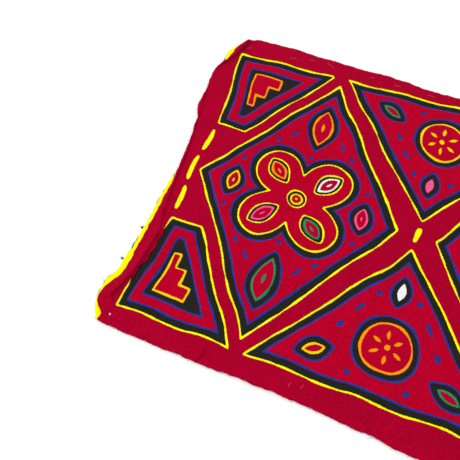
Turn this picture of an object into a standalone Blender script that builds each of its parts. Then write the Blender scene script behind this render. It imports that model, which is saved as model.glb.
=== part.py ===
"""A mola panel: layers of plain cotton cloth, cut through and sewn by hand, lying flat.

From the table up there are three levels. The black ground cloth is whole. On it lie the coloured
cloths: the yellow one with its windows, and the blue, yellow and other pieces inside those windows.
The red cloths lie on top, each cut a little smaller or its windows a little larger, so that the
colour below shows as a thin line all round. X runs along the width, Y up the panel, Z is up.
"""

import math

import bmesh
import bpy
import numpy as np
from mathutils import Vector
from mathutils.geometry import delaunay_2d_cdt

# Cloth
CLOTH = 0.0010
GAP = 0.0003
LEVEL = CLOTH + GAP
GROUND, COLOURED, TOP = 0, 1, 2

# The field that the windows fill, and the red left between them
FIELD_W = 0.390
FIELD_H = 0.262
BAND = 0.009
MIDDLE_TIP = 0.012
CORNER_END = 0.048
CORNER_LEAN = 0.0105

# Two large lozenge windows stand side by side
LOZENGE_X = 0.097
LOZENGE_W = 0.168
LOZENGE_H = 0.244

# Widths of the lines and bands, from a window's edge inwards
YELLOW_LINE = 0.0015
BLACK_BAND = 0.0045
BLUE_LINE = 0.0016
RED_BAND = 0.0065
SMALL_BLACK_BAND = 0.0035

# Flower window in the middle of a lozenge: radius at the four petals and at the notches between them
FLOWER_R = 0.055
NOTCH_R = 0.033
FLOWER_POINTS = 32
PETAL_SHARPNESS = 0.8

# How finely an outline and the inside of a cloth are divided
OUTLINE_STEP = 0.026
EDGE_STEP = 0.011
HEM_STEP = 0.0055
INSIDE_STEP = 0.024
LEAF_STEPS = 4
ROUND_POINTS = 14

CLEAR_OF_EDGE = 0.45
SAME_POINT = 1e-7

# Hand-cut sides are never straight: how far a point strays, over what length, and how much the waves bend
STRAY = 0.0008
STRAY_LENGTH = 0.055
STRAY_BEND = 2.2

# Raw edges of the red cloth, as x, y. The left one runs up the panel.
RED_TOP = ((-0.193, 0.1482), (-0.180, 0.1512), (-0.138, 0.1498), (-0.093, 0.1470), (-0.052, 0.1451),
           (-0.007, 0.1408), (0.060, 0.1430), (0.135, 0.1475), (0.204, 0.1462))
RED_RIGHT = ((0.204, 0.1462), (0.2085, 0.110), (0.2060, 0.050), (0.2080, -0.020), (0.2055, -0.090),
             (0.2070, -0.1490))
RED_BOTTOM = ((0.2070, -0.1490), (0.120, -0.1510), (0.040, -0.1532), (0.000, -0.1506), (-0.060, -0.1480),
              (-0.120, -0.1484), (-0.180, -0.1476), (-0.198, -0.1470))
RED_LEFT = ((-0.198, -0.1470), (-0.2027, -0.1455), (-0.2007, -0.1410), (-0.2068, -0.1351),
            (-0.2099, -0.1270), (-0.2065, -0.1155), (-0.2002, -0.1050), (-0.1998, -0.080), (-0.1987, -0.043),
            (-0.1985, -0.012), (-0.2005, 0.016), (-0.2045, 0.047), (-0.2093, 0.061), (-0.2096, 0.080),
            (-0.2108, 0.104), (-0.2037, 0.122), (-0.2012, 0.137), (-0.193, 0.1482))

# Where the yellow cloth shows past the red at the left, as y, and how far out it reaches
YELLOW_LEFT = ((-0.1475, 0.0000), (-0.1440, 0.0030), (-0.1400, 0.0050), (-0.1340, 0.0016), (-0.1270, 0.0010),
               (-0.1190, 0.0030), (-0.1120, 0.0052), (-0.0990, 0.0055), (-0.0860, 0.0036), (-0.0600, 0.0028),
               (-0.0280, 0.0034), (-0.0120, 0.0015), (0.0020, -0.0010), (0.1120, -0.0012), (0.1200, 0.0032),
               (0.1300, 0.0052), (0.1380, 0.0010), (0.1440, -0.0010))

# How far the black cloth shows past the yellow at the left, and how far the lower cloths stay in elsewhere
BLACK_PAST_YELLOW = 0.0002
KEPT_IN = 0.0012

# Folds of the red cloth, each a soft ridge along a line: x0, y0, x1, y1, half width, rise
FOLDS = (
    (-0.1930, 0.1480, -0.1969, 0.1310, 0.0026, 0.0030),  # the rolled top corner
    (-0.1969, 0.1310, -0.2017, 0.1202, 0.0026, 0.0030),
    (-0.2017, 0.1202, -0.2099, 0.1050, 0.0026, 0.0020),
    (-0.2099, 0.1050, -0.2084, 0.0751, 0.0026, 0.0008),  # the soft hem down the left side
    (-0.2084, 0.0751, -0.1993, 0.0184, 0.0026, 0.0013),
    (-0.1993, 0.0184, -0.1967, -0.0127, 0.0026, 0.0014),
    (-0.1967, -0.0127, -0.1940, -0.0440, 0.0028, 0.0016),
    (-0.1940, -0.0440, -0.1896, -0.0640, 0.0030, 0.0021),
    (-0.1896, -0.0640, -0.1922, -0.0880, 0.0034, 0.0030),  # the rumple above the lower corner
    (-0.1922, -0.0880, -0.1941, -0.1020, 0.0034, 0.0034),
    (-0.1941, -0.1020, -0.1988, -0.1180, 0.0036, 0.0034),
    (-0.1988, -0.1180, -0.2019, -0.1255, 0.0034, 0.0028),
    (-0.2019, -0.1255, -0.1972, -0.1292, 0.0026, 0.0016),
    (-0.2050, -0.1390, -0.1985, -0.1365, 0.0026, 0.0014),
    (-0.1210, -0.1480, -0.1170, -0.1370, 0.0030, 0.0010),  # short creases across the margins
    (-0.1500, 0.1500, -0.1480, 0.1360, 0.0060, 0.0009),
    (-0.0600, 0.1460, -0.0640, 0.1340, 0.0070, 0.0008),
    (0.0500, -0.1530, 0.0460, -0.1380, 0.0070, 0.0009),
    (0.2050, 0.1300, 0.2030, -0.0300, 0.0050, 0.0012),
)
HEM_STRIP_X = -0.184

# Gentle swell of the red cloths, which nothing holds down: its height, its length from crest to crest,
# and how much its crests bend
SWELL = 0.0005
SWELL_LENGTH = 0.085
SWELL_BEND = 1.4

# Insets of a lozenge, each in a leaf-shaped window: x and y from the lozenge's middle, length, width, angle
LOZENGE_LEAVES = (
    (0.000, 0.074, 0.052, 0.027, 90),
    (0.000, -0.074, 0.052, 0.027, 90),
    (-0.0545, 0.000, 0.034, 0.021, 90),
    (0.0545, 0.000, 0.034, 0.021, 90),
)

# Small leaf-shaped cuts in a lozenge's red piece, which show the blue: x, y, length, width, angle
LOZENGE_CUTS = (
    (0.0215, 0.0590, 0.0110, 0.0030, 125),
    (-0.0215, 0.0590, 0.0110, 0.0030, 55),
    (0.0215, -0.0590, 0.0110, 0.0030, 55),
    (-0.0215, -0.0590, 0.0110, 0.0030, 125),
    (0.0325, 0.0495, 0.0062, 0.0044, 125),
    (-0.0325, 0.0495, 0.0062, 0.0044, 55),
    (0.0325, -0.0495, 0.0062, 0.0044, 55),
    (-0.0325, -0.0495, 0.0062, 0.0044, 125),
    (0.0525, 0.0235, 0.0058, 0.0042, 60),
    (-0.0525, 0.0235, 0.0058, 0.0042, 120),
    (0.0525, -0.0235, 0.0058, 0.0042, 120),
    (-0.0525, -0.0235, 0.0058, 0.0042, 60),
    (0.0000, 0.0415, 0.0052, 0.0040, 90),
    (0.0000, -0.0415, 0.0052, 0.0040, 90),
)

# Insets of a flower: one leaf in each petal, as distance from the middle, length and width, and a disc,
# and the widths of the yellow line and the black band in their windows
PETAL_LEAF = (0.029, 0.028, 0.0180)
PETAL_ANGLES = (45, 135, 225, 315)
FLOWER_DISC_R = 0.0085
PETAL_YELLOW_LINE = 0.0011
PETAL_BLACK_BAND = 0.0020

# Insets of a middle triangle: x, y above the panel's middle line, length, width, angle
MIDDLE_LEAVES = (
    (0.000, 0.0475, 0.028, 0.016, 90),
    (-0.046, 0.1095, 0.032, 0.018, -27),
    (0.046, 0.1095, 0.032, 0.018, 27),
)
MIDDLE_DISC = (0.000, 0.091, 0.024)
MIDDLE_CUTS = (
    (0.0250, 0.0690, 0.0120, 0.0030, 54),
    (-0.0250, 0.0690, 0.0120, 0.0030, -54),
    (0.0350, 0.0860, 0.0080, 0.0042, 54),
    (-0.0350, 0.0860, 0.0080, 0.0042, -54),
    (0.0200, 0.1162, 0.0060, 0.0042, -20),
    (-0.0200, 0.1162, 0.0060, 0.0042, 20),
    (0.0140, 0.0530, 0.0060, 0.0042, 54),
    (-0.0140, 0.0530, 0.0060, 0.0042, -54),
)

# A corner inset is a stair that narrows down the window and stops short of its narrow end by part of a step
CORNER_STEPS = 3
STEP_LEFT = 0.7

# Yellow slits in the red cloth, each a long cut with narrower ends: x0, y0, x1, y1. The side ones are cut at
# both sides. Over its middle part a slit has its whole width, and at its ends a share of it.
SLIT_WIDTH = 0.0037
SLIT_END_WIDTH = 0.55
SLIT_MIDDLE = (0.13, 0.87)
SIDE_SLITS = (
    (0.1853, 0.0410, 0.1868, 0.0185),
    (0.1874, 0.0125, 0.1874, -0.0115),
    (0.1868, -0.0175, 0.1853, -0.0410),
)
MIDDLE_SLIT = (0.0, -0.0065, 0.0004, 0.0065)

# Colours of the insets, in the order they are made
LOZENGE_COLOURS = {
    "left": ("orange", "green", "gold", "pink"),
    "right": ("green", "purple", "orange", "gold"),
}
PETAL_COLOURS = {
    "left": ("white", "orange", "pink", "green"),
    "right": ("pink", "gold", "white", "purple"),
}
DISC_COLOURS = {"left": "gold", "right": "green"}
MIDDLE_COLOURS = {
    "top": ("pink", "green", "orange", "gold"),
    "bottom": ("white", "gold", "green", "orange"),
}
CORNER_COLOURS = {
    "top_left": "orange",
    "top_right": "pink",
    "bottom_left": "gold",
    "bottom_right": "green",
}

# Cotton colours, linear
COTTON = {
    "red": (0.386, 0.001, 0.023),
    "bright_red": (0.503, 0.001, 0.019),
    "yellow": (1.0, 0.86, 0.0),
    "black": (0.019, 0.019, 0.016),
    "blue": (0.018, 0.032, 0.31),
    "orange": (1.0, 0.26, 0.0),
    "green": (0.016, 0.23, 0.115),
    "pink": (0.87, 0.071, 0.29),
    "white": (0.86, 0.86, 0.84),
    "purple": (0.23, 0.045, 0.30),
    "gold": (1.0, 0.62, 0.0),
}
COTTON_ROUGHNESS = 0.9


# Outlines in the plane

def smooth_line(rows, step):
    """Points along a Catmull-Rom curve through the rows, about one step apart, without the last row."""
    rows = np.array(rows, float)
    before = np.vstack([2 * rows[0] - rows[1], rows[:-2]])
    after = np.vstack([rows[2:], 2 * rows[-1] - rows[-2]])
    out = []
    for a, b, c, d in zip(before, rows[:-1], rows[1:], after):
        count = max(1, round(float(np.hypot(*(c - b))) / step))
        t = (np.arange(count) / count)[:, None]
        out.append(0.5 * (2 * b + (c - a) * t + (2 * a - 5 * b + 4 * c - d) * t**2
                          + (3 * b - a - 3 * c + d) * t**3))
    return np.vstack(out)


def inset_corners(corners, inset):
    """Corners of a straight-sided outline moved inwards, each side by the same inset."""
    corners = np.array(corners, float)
    side = np.roll(corners, -1, axis=0) - corners
    inward = np.stack([-side[:, 1], side[:, 0]], axis=1) / np.hypot(side[:, 0], side[:, 1])[:, None]
    last = np.roll(inward, 1, axis=0)
    return corners + inset * (inward + last) / (1 + (inward * last).sum(1))[:, None]


def polygon(corners, inset=0.0, step=OUTLINE_STEP):
    """A straight-sided outline, inset, its sides divided into equal steps."""
    corners = inset_corners(corners, inset)
    out = []
    for start, end in zip(corners, np.roll(corners, -1, axis=0)):
        count = max(1, math.ceil(float(np.hypot(*(end - start))) / step))
        out.append(start + (end - start) * (np.arange(count) / count)[:, None])
    return np.vstack(out)


def leaf(x, y, length, width, angle, inset=0.0):
    """A pointed leaf: each side is a parabola from tip to tip. The inset keeps the slope of the tips."""
    tip = math.atan2(2 * width, length)
    half_l = length / 2 - inset / math.sin(tip)
    half_w = width / 2 - inset
    t = np.arange(LEAF_STEPS) / LEAF_STEPS * 2 - 1
    lower = np.stack([half_l * t, -half_w * (1 - t**2)], axis=1)
    return np.array([x, y]) + turned(np.vstack([lower, -lower]), math.radians(angle))


def disc(x, y, radius, inset=0.0):
    """A round outline."""
    a = np.arange(ROUND_POINTS) / ROUND_POINTS * 2 * np.pi
    return np.array([x, y]) + (radius - inset) * np.stack([np.cos(a), np.sin(a)], axis=1)


def flower(x, y, inset=0.0):
    """Four petals on the diagonals: the radius swells from the notch to the petal with |sin 2a|,
    and each point then moves inwards at right angles to the curve."""
    a = np.arange(FLOWER_POINTS) / FLOWER_POINTS * 2 * np.pi
    r = NOTCH_R + (FLOWER_R - NOTCH_R) * np.abs(np.sin(2 * a)) ** PETAL_SHARPNESS
    ring = r[:, None] * np.stack([np.cos(a), np.sin(a)], axis=1)
    along = np.roll(ring, -1, axis=0) - np.roll(ring, 1, axis=0)
    along /= np.hypot(along[:, 0], along[:, 1])[:, None]
    return np.array([x, y]) + ring + inset * np.stack([-along[:, 1], along[:, 0]], axis=1)


def turned(points, angle):
    """Points turned about the origin."""
    c, s = math.cos(angle), math.sin(angle)
    return points @ np.array([[c, s], [-s, c]])


def hand_cut(points):
    """Points led astray by slow waves, the same for every cloth, so that nested outlines stay nested."""
    k = 2 * np.pi / STRAY_LENGTH
    x, y = points[:, 0], points[:, 1]
    return points + STRAY * np.stack([np.sin(k * y + STRAY_BEND * np.sin(k * x / 3)),
                                      np.cos(k * x + STRAY_BEND * np.sin(k * y / 4))], axis=1)


def inside(points, outline):
    """Whether each point lies inside a closed outline, by counting the sides to its right."""
    x, y = points[:, :1], points[:, 1:]
    ax, ay = outline[:, 0], outline[:, 1]
    bx, by = np.roll(ax, -1), np.roll(ay, -1)
    spans = (ay > y) != (by > y)
    rise = np.where(by == ay, 1.0, by - ay)
    crosses = spans & (x < ax + (y - ay) * (bx - ax) / rise)
    return crosses.sum(1) % 2 == 1


# Windows of the top cloth

def window_corners():
    """The eight windows by name, each with its corners, counter-clockwise."""
    half_w, half_h = FIELD_W / 2, FIELD_H / 2
    loz_w, loz_h = LOZENGE_W / 2, LOZENGE_H / 2
    to_side = loz_w * loz_h / math.hypot(loz_w, loz_h)
    cut = loz_w * (1 + BAND / to_side - half_h / loz_h)
    slant = (half_h - CORNER_END) * loz_w / loz_h
    corner = np.array([(CORNER_LEAN - half_w, CORNER_END), (-LOZENGE_X - cut - slant, CORNER_END),
                       (-LOZENGE_X - cut, half_h), (-half_w, half_h)])
    middle = np.array([(0, MIDDLE_TIP), (LOZENGE_X - cut, half_h), (cut - LOZENGE_X, half_h)])
    lozenge = np.array([(loz_w, 0), (0, loz_h), (-loz_w, 0), (0, -loz_h)])
    flip_x, flip_y = np.array([-1, 1]), np.array([1, -1])
    return {
        "lozenge_left": lozenge - (LOZENGE_X, 0),
        "lozenge_right": lozenge + (LOZENGE_X, 0),
        "corner_top_left": corner,
        "corner_top_right": (corner * flip_x)[::-1],
        "corner_bottom_left": (corner * flip_y)[::-1],
        "corner_bottom_right": corner * flip_x * flip_y,
        "middle_top": middle,
        "middle_bottom": (middle * flip_y)[::-1],
    }


def stepped(corners):
    """A stair inside a corner window that leans with its outer side: each step is as wide as the window is
    at that step's narrow end."""
    by_height = corners[np.argsort(-np.abs(corners[:, 1]), kind="stable")]
    (wide_out, wide_in), (end_out, end_in) = (pair[np.argsort(-np.abs(pair[:, 0]))] for pair in
                                              (by_height[:2], by_height[2:]))
    wide, narrow = wide_in - wide_out, end_in - end_out
    stair = [wide_out]
    for step in range(1, CORNER_STEPS + 1):
        above, share = (step - 1) / (CORNER_STEPS + STEP_LEFT), step / (CORNER_STEPS + STEP_LEFT)
        tread = wide + (narrow - wide) * share
        stair += [wide_out + (end_out - wide_out) * part + tread for part in (above, share)]
    stair.append(wide_out + (end_out - wide_out) * share)
    stair = np.array(stair)
    return stair if signed_area(stair) > 0 else stair[::-1]


def slit(x0, y0, x1, y1):
    """A long cut with narrower ends, as its eight corners."""
    start, end = np.array([x0, y0]), np.array([x1, y1])
    share = np.array([0.0, *SLIT_MIDDLE, 1.0])[:, None]
    wide = np.array([SLIT_END_WIDTH, 1.0, 1.0, SLIT_END_WIDTH])[:, None]
    along = (end - start) / math.dist(start, end)
    aside = np.array([along[1], -along[0]]) * SLIT_WIDTH / 2 * wide
    line = start + (end - start) * share
    return np.vstack([line + aside, (line - aside)[::-1]])


def slits():
    """All the yellow slits."""
    cuts = [slit(*MIDDLE_SLIT)]
    for x0, y0, x1, y1 in SIDE_SLITS:
        cuts += [slit(x0, y0, x1, y1), slit(-x0, y0, -x1, y1)]
    return cuts


def signed_area(points):
    """Area inside an outline, positive where it runs counter-clockwise."""
    x, y = points[:, 0], points[:, 1]
    return 0.5 * float((x * np.roll(y, -1) - np.roll(x, -1) * y).sum())


# Raw outer edges

def red_outline():
    """The red cloth's raw edge, counter-clockwise from its lower left."""
    return np.vstack([
        smooth_line(RED_LEFT[::-1], HEM_STEP),
        smooth_line(RED_BOTTOM[::-1], EDGE_STEP),
        smooth_line(RED_RIGHT[::-1], OUTLINE_STEP),
        smooth_line(RED_TOP[::-1], EDGE_STEP),
    ])


def lower_outline(past):
    """A lower cloth's raw edge: it stays inside the red one, and shows past it at the left."""
    left = smooth_line(RED_LEFT[::-1], HEM_STEP)
    ys, reach = np.array(YELLOW_LEFT).T
    shown = np.interp(left[:, 1], ys, reach)
    left = left - np.stack([shown + past, np.zeros(len(left))], axis=1)
    left[:, 1] = np.clip(left[:, 1], RED_LEFT[0][1] + KEPT_IN, RED_TOP[0][1] - KEPT_IN)
    return np.vstack([
        left,
        smooth_line(RED_BOTTOM[::-1], EDGE_STEP) + (0, KEPT_IN),
        smooth_line(RED_RIGHT[::-1], OUTLINE_STEP) - (KEPT_IN, 0),
        smooth_line(RED_TOP[::-1], EDGE_STEP) - (0, KEPT_IN),
    ])


# Height of the cloth

def swell(x, y):
    """Low waves across the red cloths."""
    k = 2 * np.pi / SWELL_LENGTH
    return SWELL * (1 + np.sin(k * x + SWELL_BEND * np.sin(k * y / 2)) * np.cos(k * y))


def folds(x, y):
    """The highest ridge over each point: a ridge falls off from its line as a bell curve."""
    lift = np.zeros_like(x)
    for x0, y0, x1, y1, half_width, rise in FOLDS:
        dx, dy = x1 - x0, y1 - y0
        along = np.clip(((x - x0) * dx + (y - y0) * dy) / (dx * dx + dy * dy), 0, 1)
        away = np.hypot(x - x0 - along * dx, y - y0 - along * dy)
        lift = np.maximum(lift, rise * np.exp(-((away / half_width) ** 2)))
    return lift


# Solids

def inner_points(loops, folded):
    """Grid points that lie in the cloth, clear of its edges, closer together along a folded left hem."""
    edge = np.vstack(loops)
    low, high = loops[0].min(0), loops[0].max(0)
    found = []
    spans = [(low[0], high[0], INSIDE_STEP)]
    if folded:
        spans = [(low[0], HEM_STRIP_X, HEM_STEP), (HEM_STRIP_X + HEM_STEP, high[0], INSIDE_STEP)]
    for x0, x1, pitch in spans:
        xs = np.arange(x0 + pitch / 2, x1, pitch)
        ys = np.arange(low[1] + pitch / 2, high[1], pitch)
        grid = np.stack(np.meshgrid(xs, ys), axis=-1).reshape(-1, 2)
        keep = inside(grid, loops[0])
        for hole in loops[1:]:
            keep &= ~inside(grid, hole)
        grid = grid[keep]
        clear = np.hypot(*(grid[:, None] - edge[None]).transpose(2, 0, 1)).min(1) > pitch * CLEAR_OF_EDGE
        found.append(grid[clear])
    return np.vstack(found)


def cloth(name, outline, windows, level, colour, origin, whole=False):
    """A closed sheet: the outline less its windows, as triangles, lifted to its level with side walls.
    A whole cloth keeps its raw edge as it is, and where it is on top it has the folds."""
    folded = whole and level == TOP
    loops = [outline if whole else hand_cut(outline)]
    loops += [hand_cut(hole) for hole in windows]
    inner = inner_points(loops, folded)
    edges = []
    start = 0
    for loop in loops:
        count = len(loop)
        edges += [(start + i, start + (i + 1) % count) for i in range(count)]
        start += count
    points = [Vector(p) for p in np.vstack(loops + [inner])]
    flat, _, faces, *_ = delaunay_2d_cdt(points, edges, [], 0, SAME_POINT)
    flat = np.array([tuple(p) for p in flat])
    faces = np.array([tuple(f) for f in faces])
    middle = flat[faces].mean(1)
    keep = inside(middle, loops[0])
    for hole in loops[1:]:
        keep &= ~inside(middle, hole)
    faces = faces[keep]

    low = np.full(len(flat), level * LEVEL)
    if level == TOP:
        low += swell(flat[:, 0], flat[:, 1])
    if folded:
        low += folds(flat[:, 0], flat[:, 1])
    place = flat - origin
    below = [(x, y, z) for (x, y), z in zip(place, low)]
    above = [(x, y, z + CLOTH) for (x, y), z in zip(place, low)]
    mesh = bpy.data.meshes.new(name)
    body = bmesh.new()
    lower = [body.verts.new(p) for p in below]
    upper = [body.verts.new(p) for p in above]
    sides = {(a, b) for f in faces.tolist() for a, b in zip(f, f[1:] + f[:1])}
    for f in faces.tolist():
        body.faces.new([upper[i] for i in f])
        body.faces.new([lower[i] for i in reversed(f)])
    for a, b in sorted(sides):
        if (b, a) not in sides:
            body.faces.new([upper[b], upper[a], lower[a], lower[b]])
    loose = [v for v in body.verts if not v.link_faces]
    bmesh.ops.delete(body, geom=loose, context="VERTS")
    bmesh.ops.recalc_face_normals(body, faces=body.faces)
    body.to_mesh(mesh)
    body.free()
    mesh.materials.append(cotton(colour))
    piece = bpy.data.objects.new(name, mesh)
    bpy.context.collection.objects.link(piece)
    return piece


def cotton(colour):
    """Plain cotton of one colour, made once and then shared."""
    name = f"{colour}_cotton"
    if name in bpy.data.materials:
        return bpy.data.materials[name]
    made = bpy.data.materials.new(name)
    made.use_nodes = True
    shader = made.node_tree.nodes["Principled BSDF"]
    shader.inputs["Base Color"].default_value = (*COTTON[colour], 1.0)
    shader.inputs["Roughness"].default_value = COTTON_ROUGHNESS
    shader.inputs["Metallic"].default_value = 0.0
    made.diffuse_color = (*COTTON[colour], 1.0)
    return made


# The panel's cloths and pieces

def whole_cloths(windows, origin):
    """The black ground, the yellow cloth and the red top cloth."""
    cloth("black_ground", lower_outline(BLACK_PAST_YELLOW), [], GROUND, "black", origin, whole=True)
    yellow = [polygon(c, YELLOW_LINE) for c in windows.values()]
    cloth("yellow_cloth", lower_outline(0.0), yellow, COLOURED, "yellow", origin, whole=True)
    red = [polygon(c) for c in windows.values()] + slits()
    cloth("red_top_cloth", red_outline(), red, TOP, "red", origin, whole=True)


def blue_and_red(name, corners, holes, origin, cuts=()):
    """The blue piece in a window and the smaller red piece on it. Their own windows are the holes, and the
    cuts go through the red piece alone."""
    blue_inset = YELLOW_LINE + BLACK_BAND
    blue = polygon(corners, blue_inset)
    red = polygon(corners, blue_inset + BLUE_LINE)
    cloth(f"blue_{name}", blue, [hole(BLUE_LINE) for hole in holes], COLOURED, "blue", origin)
    red_holes = [hole(0.0) for hole in holes] + [leaf(*cut) for cut in cuts]
    cloth(f"red_{name}", red, red_holes, TOP, "bright_red", origin)


def inset_piece(name, hole, colour, origin, edge=BLUE_LINE + SMALL_BLACK_BAND):
    """The coloured piece that lies in a small window, with a band of black round it."""
    cloth(f"{name}_{colour}", hole(edge), [], COLOURED, colour, origin)


def leaf_hole(x, y, length, width, angle):
    """A leaf-shaped window, as a function of how far it is inset."""
    return lambda inset: leaf(x, y, length, width, angle, inset)


def disc_hole(x, y, radius):
    """A round window, as a function of how far it is inset."""
    return lambda inset: disc(x, y, radius, inset)


def lozenge(side, corners, origin):
    """A lozenge window's blue and red pieces, its flower, and all its insets."""
    x = float(corners[:, 0].mean())
    leaves = [leaf_hole(x + row[0], *row[1:]) for row in LOZENGE_LEAVES]
    cuts = [(x + row[0], *row[1:]) for row in LOZENGE_CUTS]
    blue_and_red(f"lozenge_{side}", corners, [lambda inset: flower(x, 0, inset)] + leaves, origin, cuts)
    for number, (hole, colour) in enumerate(zip(leaves, LOZENGE_COLOURS[side]), 1):
        inset_piece(f"leaf_{side}_{number}", hole, colour, origin)

    distance, length, width = PETAL_LEAF
    petals = []
    for angle in PETAL_ANGLES:
        px = x + distance * math.cos(math.radians(angle))
        py = distance * math.sin(math.radians(angle))
        petals.append(leaf_hole(px, py, length, width, angle))
    heart = disc_hole(x, 0.0, FLOWER_DISC_R)
    windows = petals + [heart]
    yellow_windows = [window(PETAL_YELLOW_LINE) for window in windows]
    red_windows = [window(0.0) for window in windows]
    outer = BLUE_LINE + BLACK_BAND
    cloth(f"yellow_flower_{side}", flower(x, 0, outer), yellow_windows, COLOURED, "yellow", origin)
    cloth(f"red_flower_{side}", flower(x, 0, outer + YELLOW_LINE), red_windows, TOP, "bright_red", origin)
    depth = PETAL_YELLOW_LINE + PETAL_BLACK_BAND
    for number, (petal, colour) in enumerate(zip(petals, PETAL_COLOURS[side]), 1):
        inset_piece(f"petal_{side}_{number}", petal, colour, origin, depth)
    inset_piece(f"heart_{side}", heart, DISC_COLOURS[side], origin, depth)


def middle(side, corners, origin):
    """A middle triangle's blue and red pieces and its insets. The lower one is the upper one mirrored."""
    up = 1 if side == "top" else -1
    holes = [leaf_hole(x, y * up, length, width, angle * up) for x, y, length, width, angle in MIDDLE_LEAVES]
    holes.append(disc_hole(MIDDLE_DISC[0], MIDDLE_DISC[1] * up, MIDDLE_DISC[2]))
    cuts = [(x, y * up, length, width, angle * up) for x, y, length, width, angle in MIDDLE_CUTS]
    blue_and_red(f"middle_{side}", corners, holes, origin, cuts)
    for number, (hole, colour) in enumerate(zip(holes, MIDDLE_COLOURS[side]), 1):
        inset_piece(f"middle_{side}_{number}", hole, colour, origin)


def corner(side, corners, origin):
    """A corner triangle's blue and red pieces and its stepped inset."""
    window = inset_corners(corners, YELLOW_LINE + BLACK_BAND + BLUE_LINE + RED_BAND)
    blue_and_red(f"corner_{side}", corners, [lambda inset: polygon(window, inset)], origin)
    stair = stepped(inset_corners(window, BLUE_LINE + SMALL_BLACK_BAND))
    cloth(f"stair_{side}_{CORNER_COLOURS[side]}", stair, [], COLOURED, CORNER_COLOURS[side], origin)


def main():
    """Clear the scene and make the panel, its outline's middle at the origin."""
    for old in list(bpy.data.objects):
        bpy.data.objects.remove(old, do_unlink=True)
    reach = np.vstack([red_outline(), lower_outline(BLACK_PAST_YELLOW)])
    origin = (reach.min(0) + reach.max(0)) / 2
    windows = window_corners()
    whole_cloths(windows, origin)
    for side in ("left", "right"):
        lozenge(side, windows[f"lozenge_{side}"], origin)
    for side in ("top", "bottom"):
        middle(side, windows[f"middle_{side}"], origin)
    for side in CORNER_COLOURS:
        corner(side, windows[f"corner_{side}"], origin)


main()
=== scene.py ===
"""Dresses the mola panel: every cloth of the frame becomes a sewn cotton piece with turned edges,
puckers, stitches and a weave, laid on a plain pale floor."""

import math

import bpy
import numpy as np
from bpy.props import FloatProperty, FloatVectorProperty, PointerProperty
from bpy.types import Operator, Panel, PropertyGroup
from mathutils import Matrix, Vector
from mathutils.geometry import delaunay_2d_cdt


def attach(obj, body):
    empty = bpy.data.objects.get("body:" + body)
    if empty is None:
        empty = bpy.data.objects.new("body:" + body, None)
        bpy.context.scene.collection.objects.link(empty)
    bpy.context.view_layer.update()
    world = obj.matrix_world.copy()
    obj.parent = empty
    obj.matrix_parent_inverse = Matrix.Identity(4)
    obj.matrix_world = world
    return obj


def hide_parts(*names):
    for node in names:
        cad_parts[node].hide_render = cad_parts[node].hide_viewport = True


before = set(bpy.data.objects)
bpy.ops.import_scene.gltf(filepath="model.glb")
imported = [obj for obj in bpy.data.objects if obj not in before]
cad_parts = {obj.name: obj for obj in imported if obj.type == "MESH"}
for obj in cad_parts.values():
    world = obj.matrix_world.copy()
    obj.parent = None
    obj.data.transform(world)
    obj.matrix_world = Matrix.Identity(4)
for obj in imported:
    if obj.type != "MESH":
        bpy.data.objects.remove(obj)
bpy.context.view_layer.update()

bl_info = {
    "name": "Mola panel",
    "version": (1, 0, 0),
    "blender": (4, 5, 0),
    "location": "3D View > Sidebar > Mola",
    "description": "Makes a hand-sewn mola panel of layered cotton, piece by piece",
    "category": "Add Mesh",
}

BODY = "root"

# The field that the windows fill, and the red left between them, as in the frame
FIELD_W = 0.390
FIELD_H = 0.262
BAND = 0.009
MIDDLE_TIP = 0.012
CORNER_END = 0.048
CORNER_LEAN = 0.0105
LOZENGE_X = 0.097
LOZENGE_W = 0.168
LOZENGE_H = 0.244

# Widths of the lines and bands, from a window's edge inwards
YELLOW_LINE = 0.0015
BLACK_BAND = 0.0045
BLUE_LINE = 0.0016
RED_BAND = 0.0065
SMALL_BLACK_BAND = 0.0035
PETAL_YELLOW_LINE = 0.0011
PETAL_BLACK_BAND = 0.0020
INSET_LINE = 0.0017

# Flower window in the middle of a lozenge
FLOWER_R = 0.055
NOTCH_R = 0.033
PETAL_SHARPNESS = 0.8
NOTCH_MITRE = 1.6

# Hand-cut sides: how far a point strays, over what length, how much the waves bend, and how slowly they bend
STRAY = 0.0008
STRAY_LENGTH = 0.055
STRAY_BEND = 2.2
STRAY_SLOWER = (3, 4)

# Small waves of each cut edge by itself, as length and height, the shares of its count in which each wave is
# repeated, and how many times a raw edge's corners are rounded
WAVE_SHARES = (0.7, 1.0, 1.4)
WAVERS = ((0.030, 0.00013), (0.011, 0.00005), (0.0035, 0.000025))
RAW_WAVERS = ((0.034, 0.00018), (0.0125, 0.00012), (0.0060, 0.00008))
RAW_WORN = 6

# Raw edges of the red cloth, as x, y
RED_TOP = ((-0.193, 0.1482), (-0.180, 0.1512), (-0.138, 0.1498), (-0.093, 0.1470), (-0.052, 0.1451),
           (-0.007, 0.1408), (0.060, 0.1430), (0.135, 0.1475), (0.204, 0.1462))
RED_RIGHT = ((0.204, 0.1462), (0.2085, 0.110), (0.2060, 0.050), (0.2080, -0.020), (0.2055, -0.090),
             (0.2070, -0.1490))
RED_BOTTOM = ((0.2070, -0.1490), (0.120, -0.1510), (0.040, -0.1532), (0.000, -0.1506), (-0.060, -0.1480),
              (-0.120, -0.1484), (-0.180, -0.1476), (-0.198, -0.1470))
RED_LEFT = ((-0.198, -0.1470), (-0.2027, -0.1455), (-0.2007, -0.1410), (-0.2068, -0.1351),
            (-0.2099, -0.1270), (-0.2065, -0.1155), (-0.2002, -0.1050), (-0.1998, -0.080), (-0.1987, -0.043),
            (-0.1985, -0.012), (-0.2005, 0.016), (-0.2045, 0.047), (-0.2093, 0.061), (-0.2096, 0.080),
            (-0.2108, 0.104), (-0.2037, 0.122), (-0.2012, 0.137), (-0.193, 0.1482))

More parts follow.
